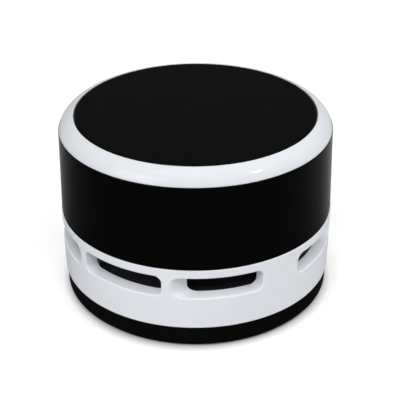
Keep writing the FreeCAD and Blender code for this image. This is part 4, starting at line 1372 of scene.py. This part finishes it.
@dataclass
class DustCup:
    """The black dust cup with its rounded lower edge and the filter on its mouth."""

    node: str = "base_cup"
    rim_inset: float = 1.7 * MM
    edge_height: float = 2.4 * MM
    edge_radius: float = 1.8 * MM
    height: float = 7.6 * MM
    edge: float = 0.2 * MM
    segments: int = 360
    edge_steps: int = 12
    screen_node: str = "filter_screen"
    screen_sag: float = 0.15 * MM
    screen_rings: int = 24
    frame_node: str = "filter_frame"
    frame_edge: float = 0.2 * MM

    def surface(self) -> Surface:
        """The cup's skin from its foot over the rounded edge to the seam, and the CAD node's inner side.

        Returns:
            Points and faces.
        """
        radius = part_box(self.node)[1].x
        foot, seam = (radius - self.rim_inset, 0.0), (radius, self.height)
        middle = Vector((radius - self.edge_radius, self.edge_height))
        run = Vector(foot) - middle
        turn = -(math.atan2(-run.y, run.x) - math.acos(self.edge_radius / run.length))
        angles = np.linspace(turn, 0, self.edge_steps + 1)
        across, rise = self.edge_radius * np.cos(angles), self.edge_radius * np.sin(angles)
        arc = np.stack([middle.x + across, middle.y + rise], axis=1)
        below = corner((foot[0] - self.edge_radius, 0), foot, tuple(arc[0]), self.edge, 4)
        above = corner(tuple(arc[-1]), seam, (radius - self.edge_radius, self.height), self.edge, 5)
        path = np.vstack([below, line(below[-1], arc[0], 3)[1:], arc[1:], line(arc[-1], above[0], 6)[1:],
                          above[1:]])
        sharp = np.vstack([[foot], arc, [seam]])
        inside = inner_side(self.node, dense(sharp), self.edge)
        return joined([lathe(path, even_turn(self.segments)), inside])

    def screen_surface(self) -> Surface:
        """The filter cloth: a closed thin disc that sags between the bars of its frame.

        The sag at a share r of the radius is the greatest sag times (1 - r^2) sin(pi r).

        Returns:
            Points and quads.
        """
        low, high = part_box(self.screen_node)
        share = np.linspace(0, 1, self.screen_rings)
        sag = -self.screen_sag * (1 - share ** 2) * np.sin(share * math.pi)
        over = np.stack([share[::-1] * high.x, high.z + sag[::-1]], axis=1)
        under = np.stack([share * high.x, low.z + sag], axis=1)
        return lathe(np.vstack([under, over]), even_turn(180))

    def build(self, finishes: Finishes) -> None:
        """Builds and dresses the cup and the filter in place of their CAD nodes.

        Args:
            finishes: The part's materials.
        """
        cup = weighted(mesh_object("dust_cup_shell", self.surface()))
        seat_piece(cup, Body.DUST_CUP, finishes.of("black_cup"), [self.node])
        screen = mesh_object("filter_cloth", self.screen_surface())
        seat_piece(screen, Body.DUST_CUP, finishes.of("filter_mesh"), [self.screen_node])
        rim = bevelled(mesh_object("filter_rim", node_surface(self.frame_node)), self.frame_edge)
        seat_piece(rim, Body.DUST_CUP, finishes.of("filter_plastic"), [self.frame_node])


@dataclass
class Brush:
    """One bristle strip: tufts of tapered, slightly splayed bristles in a moulded strip.

    A bristle is a three-sided taper. Its points are root + lean (share to the bend power) + radius
    (1 - taper share^2) (cos a, sin a), with the root on a sunflower pattern inside its tuft.
    """

    node: str
    seed: int
    tufts: int = 14
    bristles: int = 34
    tuft_radius: float = 1.05 * MM
    bristle_radius: float = 0.09 * MM
    splay: float = 0.2 * MM
    strip_thickness: float = 1.1 * MM
    root_depth: float = 0.4 * MM
    tip_scatter: float = 0.22 * MM
    fill: float = 0.85
    taper: float = 0.45
    bend_power: float = 1.6
    sides: int = 3
    stations: int = 4
    strip_rows: int = 21
    strip_columns: int = 48
    strip_end_power: float = 0.12
    strip_side_power: float = 0.25

    def bristle_surface(self) -> Surface:
        """All the bristles of the strip as one set of closed tapers.

        Returns:
            Points and quads.
        """
        low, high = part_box(self.node)
        chance = np.random.default_rng(self.seed)
        top = high.z - self.strip_thickness + self.root_depth
        count = self.tufts * self.bristles
        place = np.linspace(low.x + self.tuft_radius, high.x - self.tuft_radius, self.tufts)
        number = np.arange(self.bristles)
        ring = np.sqrt((number + 0.5) / self.bristles)
        turn = number * math.pi * (3 - math.sqrt(5))
        offset = np.stack([ring * np.cos(turn), ring * np.sin(turn)], axis=1)
        centre = np.stack([place, np.full(self.tufts, (low.y + high.y) / 2)], axis=1)
        root = (centre[:, None] + self.tuft_radius * self.fill * offset[None]).reshape(-1, 2)
        lean = np.tile(offset, (self.tufts, 1)) * self.splay + chance.normal(0, self.splay / 3, (count, 2))
        tip = low.z + chance.uniform(0, self.tip_scatter, count)
        share = np.linspace(0, 1, self.stations)
        line_xy = root[:, None] + lean[:, None] * (share ** self.bend_power)[None, :, None]
        line_z = top + (tip - top)[:, None] * share[None]
        angle = np.linspace(0, -FULL_TURN, self.sides, endpoint=False)
        thick = self.bristle_radius * (1 - self.taper * share ** 2)
        x = line_xy[..., 0:1] + thick[None, :, None] * np.cos(angle)
        y = line_xy[..., 1:2] + thick[None, :, None] * np.sin(angle)
        z = np.repeat(line_z[..., None], self.sides, axis=2)
        points = np.stack([x, y, z], axis=-1).reshape(-1, 3)
        wall = grid_faces(self.stations, self.sides, True)
        last = (self.stations - 1) * self.sides
        cap = np.array([[last, last + 1, last + 2, last + 2], [2, 1, 0, 0]])
        single = np.vstack([wall, cap])
        faces = single[None] + (np.arange(count) * self.stations * self.sides)[:, None, None]
        return points, faces.reshape(-1, 4)

    def strip_surface(self) -> Surface:
        """The moulded strip: a bar whose section is a superellipse, closed at its ends by rounded caps.

        Returns:
            Points and quads.
        """
        low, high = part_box(self.node)
        middle = (Vector(low) + Vector(high)) / 2
        half_z = self.strip_thickness / 2
        u = np.linspace(-math.pi / 2, math.pi / 2, self.strip_rows)[:, None]
        v = even_turn(self.strip_columns)[None, :]
        half_x, half_y = (high.x - low.x) / 2, (high.y - low.y) / 2
        swell = signed_power(np.cos(u), self.strip_end_power)
        x = middle.x + half_x * signed_power(np.sin(u), self.strip_end_power) * np.ones_like(v)
        y = middle.y + half_y * swell * signed_power(np.cos(v), self.strip_side_power)
        z = high.z - half_z + half_z * swell * signed_power(np.sin(v), self.strip_side_power)
        points = np.stack([x, y, z], axis=-1)
        return points.reshape(-1, 3), grid_faces(self.strip_rows, self.strip_columns, True)[:, ::-1]

    def build(self, finishes: Finishes) -> None:
        """Builds and dresses the bristles and the strip in place of the CAD node.

        Args:
            finishes: The part's materials.
        """
        bristles = mesh_object(f"{self.node}_bristles", self.bristle_surface(), weld=False)
        seat_piece(bristles, Body.DUST_CUP, finishes.of("bristle"), [self.node])
        strip = mesh_object(f"{self.node}_strip", self.strip_surface())
        seat_piece(strip, Body.DUST_CUP, finishes.of("inner_plastic"))


@dataclass
class Wiring:
    """The three hookup wires, as round tubes on smooth lines through the routes' points."""

    radius: float = 0.65 * MM
    sides: int = 14
    routes: dict[str, tuple[tuple[float, float, float], ...]] = field(default_factory=lambda: {
        "battery_wire": ((-28.05, -16.4, 35.6), (-28.05, -16.4, 29.8), (-25.05, 19.6, 29.8),
                         (-3.2, 36.5, 29.8), (-3.2, 36.5, 34.55)),
        "motor_wire": ((3.2, 36.5, 34.55), (3.2, 36.5, 29.8), (13.8, 0.0, 29.8), (13.8, 0.0, 52.8),
                       (10.6, 0.0, 52.8)),
        "return_wire": ((-28.05, 16.4, 35.6), (-28.05, 16.4, 32.2), (-13.8, 0.0, 32.2), (-13.8, 0.0, 52.8),
                        (-10.6, 0.0, 52.8))})

    def centre_line(self, route: Sequence[Sequence[float]]) -> Array:
        """The smooth NURBS line of a route's points.

        Args:
            route: Points in millimetres.

        Returns:
            Points of the line.
        """
        curve = bpy.data.curves.new("route", "CURVE")
        curve.dimensions = "3D"
        spline = curve.splines.new("NURBS")
        spline.points.add(len(route) - 1)
        for point, place in zip(spline.points, route):
            point.co = (*(Vector(place) * MM), 1)
        spline.order_u = 3
        spline.use_endpoint_u = True
        spline.resolution_u = 16
        holder = bpy.data.objects.new("route", curve)
        bpy.context.scene.collection.objects.link(holder)
        bpy.context.view_layer.update()
        mesh = bpy.data.meshes.new_from_object(holder)
        line_points = np.array([vertex.co for vertex in mesh.vertices])
        bpy.data.objects.remove(holder)
        bpy.data.curves.remove(curve)
        bpy.data.meshes.remove(mesh)
        return line_points

    def build(self, finishes: Finishes) -> None:
        """Builds and dresses each wire in place of its CAD node.

        Args:
            finishes: The part's materials.
        """
        for node, route in self.routes.items():
            piece = mesh_object(f"{node}_tube", tube(self.centre_line(route), self.radius, self.sides))
            slot = "black_wire" if node == "return_wire" else "red_wire"
            seat_piece(piece, Body.HOUSING, finishes.of(slot), [node])


@dataclass
class Polished:
    """A CAD node whose copy gets finely broken edges, in place of the node."""

    node: str
    body: Body
    slot: str
    edge: float

    def build(self, finishes: Finishes) -> None:
        """Builds and dresses the copy in place of its CAD node."""
        piece = bevelled(mesh_object(f"{self.node}_form", node_surface(self.node)), self.edge)
        seat_piece(piece, self.body, finishes.of(self.slot), [self.node])


@dataclass
class Cell:
    """One cell: a can with a rolled shoulder at its button end and a crimped flat end."""

    node: str
    side: int
    shoulder: float = 0.6 * MM
    crease: float = 0.08 * MM
    button_radius: float = 2.75 * MM
    button_length: float = 1.2 * MM
    groove: float = 0.15 * MM
    crimp_insets: tuple[float, float, float] = (1.2 * MM, 1.0 * MM, 0.6 * MM)
    groove_insets: tuple[float, float] = (1.4 * MM, 1.7 * MM)
    button_root: float = 0.1 * MM
    button_edge: float = 0.35 * MM
    columns: int = 96

    def surface(self) -> Surface:
        """A turned outline, from the flat end over the sleeve to the button, laid down along X.

        Returns:
            Points and quads.
        """
        low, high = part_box(self.node)
        radius = (high.z - low.z) / 2
        length = high.x - low.x
        body = length - self.button_length
        sunk = body - self.groove
        crimp = [radius - inset for inset in self.crimp_insets]
        groove = [radius - inset for inset in self.groove_insets]
        points = [(0, 0), (crimp[0], 0), (crimp[1], self.groove), (crimp[2], 0), (radius, 0), (radius, body),
                  (groove[0], body), (groove[1], sunk), (self.button_radius, sunk),
                  (self.button_radius, length), (0, length)]
        bends = [self.crease] * 3 + [self.shoulder] * 2 + [self.crease] * 2
        bends += [self.button_root, self.button_edge]
        turned, faces = lathe(rounded_path(points, bends, 4), even_turn(self.columns))
        start = high.x if self.side > 0 else low.x
        x = start - self.side * turned[:, 2]
        y = (low.y + high.y) / 2 + turned[:, 0] * self.side
        z = (low.z + high.z) / 2 + turned[:, 1]
        return np.stack([x, y, z], axis=1), faces[:, ::-1]

    def build(self, finishes: Finishes) -> None:
        """Builds and dresses the cell in place of its CAD node."""
        piece = mesh_object(f"{self.node}_can", self.surface(), recalculate=True)
        seat_piece(piece, Body.HOUSING, finishes.of("cell_sleeve"), [self.node])


@dataclass
class PlainNodes:
    """The CAD nodes that stay, each with the finish of its slot in the record."""

    def build(self, finishes: Finishes) -> None:
        """Dresses every node that no piece stands for.

        Args:
            finishes: The part's materials.
        """
        slots = {part["node"]: part["material_slot"] for part in frame["record"]["subparts"]}
        for name, node in frame["nodes"].items():
            if node.hide_render:
                continue
            material = finishes.of(slots[name])
            if not node.material_slots:
                node.data.materials.append(material)
            for place in node.material_slots:
                place.material = material
            log.info("dressed node %s with %s", name, slots[name])


# The studio


@dataclass
class Lamp:
    """A soft rectangular lamp that looks at the object, and shows in glossy surfaces only where mirrored."""

    name: str
    place: tuple[float, float, float]
    width: float
    depth: float
    power: float
    mirrored: bool = False
    aim: tuple[float, float, float] = (0, 0, 0.03)

    def build(self) -> None:
        """Adds the lamp."""
        data = bpy.data.lights.new(self.name, "AREA")
        data.shape = "RECTANGLE"
        data.size, data.size_y = self.width, self.depth
        data.energy = self.power
        lamp = bpy.data.objects.new(self.name, data)
        bpy.context.scene.collection.objects.link(lamp)
        lamp.location = self.place
        lamp.visible_glossy = self.mirrored
        lamp.rotation_euler = (Vector(self.aim) - Vector(self.place)).to_track_quat("-Z", "Y").to_euler()


@dataclass
class Studio:
    """A pale floor, a pale world, soft lamps, and a glowing card that only reflections see: a painted
    reflection that keeps reflections in the black parts dark.

    The floor glows: little beside the object, which paints a contact shadow round its foot, more round it,
    and fully far away.
    """

    floor_half: float = 6.0
    floor_tint: Colour = (0.63, 0.63, 0.63)
    painted_shadow_glow: float = 0.1
    floor_glow: float = 0.4
    far_glow: float = 1.0
    painted_shadow_reach: tuple[float, float] = (0.0415, 0.0442)
    far_reach: tuple[float, float] = (0.3, 3.0)
    floor_lines: int = 9
    mottle: float = 0.05
    air_light: float = 0.2
    air_reflected: float = 0.09
    card_near: float = 0.0408
    card_far: float = 1.6
    card_level: float = 0.0003
    card_front: Colour = (0.02, 0.02, 0.02)
    card_rear: Colour = (0.5, 0.5, 0.5)
    card_turn: float = -43 * DEGREE
    card_narrowness: float = 4.0
    card_columns: int = 120
    lamps: tuple[Lamp, ...] = (
        Lamp("overhead", (-0.02, 0.03, 1.2), 0.24, 0.24, 3.3),
        Lamp("front", (-0.53, -0.72, 1.2), 1.1, 0.4, 11.5),
        Lamp("left", (-1.2, -0.05, 0.75), 0.9, 0.8, 5.8, mirrored=True),
        Lamp("right", (1.05, -0.5, 0.6), 0.9, 0.8, 6.9),
        Lamp("streak", (-0.449, -0.056, 1.182), 0.34, 0.12, 0.6, mirrored=True),
        Lamp("glint", (0.36, -0.76, 0.94), 0.15, 0.08, 1.1, mirrored=True))

    def floor(self) -> None:
        """A wide pale floor that glows a little to the camera and keeps the object's shadow, with a painted
        contact shadow where its glow drops beside the object.
        """
        share = np.linspace(-self.floor_half, self.floor_half, self.floor_lines)
        x, y = np.meshgrid(share, share)
        points = np.stack([x, y, np.zeros_like(x)], axis=-1).reshape(-1, 3)
        piece = mesh_object("floor", (points, grid_faces(self.floor_lines, self.floor_lines)), weld=False)
        desk = NodeDesk("floor_paper")
        desk.feed(desk.blend(desk.noise(self.mottle), self.floor_tint, shaded(self.floor_tint, 0.995)))
        desk.fixed(Roughness=0.9, Specular_IOR_Level=0.1)
        ray = desk.node("ShaderNodeLightPath").outputs
        seen = desk.math("MAXIMUM", ray["Is Camera Ray"], ray["Is Glossy Ray"])
        seen = desk.math("MAXIMUM", seen, ray["Is Transmission Ray"])
        reach = desk.reach()
        # Painted contact shadow: the glow drops to its lowest in a thin ring round the object's foot.
        near = desk.spread(reach, self.painted_shadow_glow, self.floor_glow, *self.painted_shadow_reach)
        level = desk.node("ShaderNodeMapRange", {"Value": reach, "To Min": near}, From_Min=self.far_reach[0],
                          From_Max=self.far_reach[1], To_Max=self.far_glow)
        glow = desk.math("MULTIPLY", seen, level.outputs["Result"])
        desk.shader.inputs["Emission Color"].default_value = (1, 1, 1, 1)
        desk.tree.links.new(glow, desk.shader.inputs["Emission Strength"])
        piece.data.materials.append(desk.material)

    def card(self) -> None:
        """A glowing card on the floor that only reflections see, a painted reflection: black at the camera's
        side and grey behind.

        The share of the rear tint is ((1 + cos b) / 2) to the power of the narrowness, with b the bearing.
        """
        path = np.array([(self.card_near, self.card_level), (self.card_far, self.card_level)])
        piece = mesh_object("dark_card", lathe(path, even_turn(self.card_columns)), weld=False)
        desk = NodeDesk("painted_reflection_card")
        x, y, _ = desk.split(desk.stretched((1, 1, 1), (0, 0, -self.card_turn)))
        behind = desk.math("COSINE", desk.math("ARCTAN2", x, y))
        share = desk.math("POWER", desk.spread(behind, 0, 1, -1, 1), self.card_narrowness)
        # Painted reflection: the card glows black towards the camera and grey behind, and only glossy rays
        # see it.
        glow = desk.blend(share, self.card_front, self.card_rear)
        desk.tree.links.new(glow, desk.shader.inputs["Emission Color"])
        desk.fixed(Roughness=1.0, Specular_IOR_Level=0.0, Emission_Strength=1.0)
        desk.shader.inputs["Base Color"].default_value = (0, 0, 0, 1)
        piece.data.materials.append(desk.material)
        piece.visible_camera = False
        piece.visible_diffuse = False
        piece.visible_shadow = False

    def world(self) -> None:
        """A world that is white to the camera, an even soft light, and dim in reflections."""
        world = bpy.data.worlds.new("studio_air")
        bpy.context.scene.world = world
        world.use_nodes = True
        tree = world.node_tree
        air = tree.nodes["Background"]
        air.inputs["Color"].default_value = (1, 1, 1, 1)
        ray = tree.nodes.new("ShaderNodeLightPath")
        seen = tree.nodes.new("ShaderNodeMapRange")
        tree.links.new(ray.outputs["Is Camera Ray"], seen.inputs["Value"])
        reflected = tree.nodes.new("ShaderNodeMapRange")
        tree.links.new(ray.outputs["Is Glossy Ray"], reflected.inputs["Value"])
        reflected.inputs["To Min"].default_value = self.air_light
        reflected.inputs["To Max"].default_value = self.air_reflected
        tree.links.new(reflected.outputs["Result"], seen.inputs["To Min"])
        seen.inputs["To Max"].default_value = 1.0
        tree.links.new(seen.outputs["Result"], air.inputs["Strength"])

    def build(self) -> None:
        """Sets up the floor, the card, the world and the lamps, with plain colour management."""
        self.floor()
        self.card()
        self.world()
        for lamp in self.lamps:
            lamp.build()
        bpy.context.scene.view_settings.view_transform = "Standard"


@dataclass
class PhotoCamera:
    """The photograph's camera: its place round the object, its lens and its small roll and shift."""

    distance: float = 355.0 * MM
    aim_height: float = 27.16 * MM
    elevation: float = 29.36 * DEGREE
    azimuth: float = -36.31 * DEGREE
    lens: float = 99.38
    sensor: float = 36.0
    shift_x: float = 0.00967
    roll: float = -0.44 * DEGREE

    def build(self) -> None:
        """Adds the camera and makes it the scene's."""
        data = bpy.data.cameras.new("photo_camera")
        data.lens = self.lens
        data.sensor_width = self.sensor
        data.shift_x = self.shift_x
        data.dof.use_dof = False
        camera = bpy.data.objects.new("photo_camera", data)
        bpy.context.scene.collection.objects.link(camera)
        aim = Vector((0, 0, self.aim_height))
        flat = self.distance * math.cos(self.elevation)
        place = aim + Vector((flat * math.sin(self.azimuth), -flat * math.cos(self.azimuth),
                              self.distance * math.sin(self.elevation)))
        turn = (aim - place).to_track_quat("-Z", "Y").to_matrix() @ Matrix.Rotation(self.roll, 3, "Z")
        camera.matrix_world = Matrix.Translation(place) @ turn.to_4x4()
        bpy.context.scene.camera = camera


def main() -> None:
    """Builds every sub-assembly in order, dresses the rest and sets up the studio."""
    logging.basicConfig(level=logging.INFO, format="%(message)s")
    finishes = Finishes()
    sub_assemblies = [VentRing(), Band(), Lid(), DustCup(), Brush("front_brush", 11),
                      Brush("rear_brush", 12), Wiring(), Cell("front_cell", 1), Cell("rear_cell", -1),
                      Polished("switch_knob", Body.SWITCH, "knob", 0.15 * MM),
                      Polished("impeller", Body.ROTOR, "fan_plastic", 0.12 * MM),
                      Polished("motor_deck", Body.HOUSING, "inner_plastic", 0.15 * MM),
                      Polished("fan_shroud", Body.HOUSING, "inner_plastic", 0.15 * MM),
                      Polished("battery_tray", Body.HOUSING, "inner_plastic", 0.12 * MM), PlainNodes()]
    for sub_assembly in sub_assemblies:
        sub_assembly.build(finishes)
        log.info("built %s", type(sub_assembly).__name__)
    Studio().build()
    PhotoCamera().build()


if __name__ == "__main__":
    main()
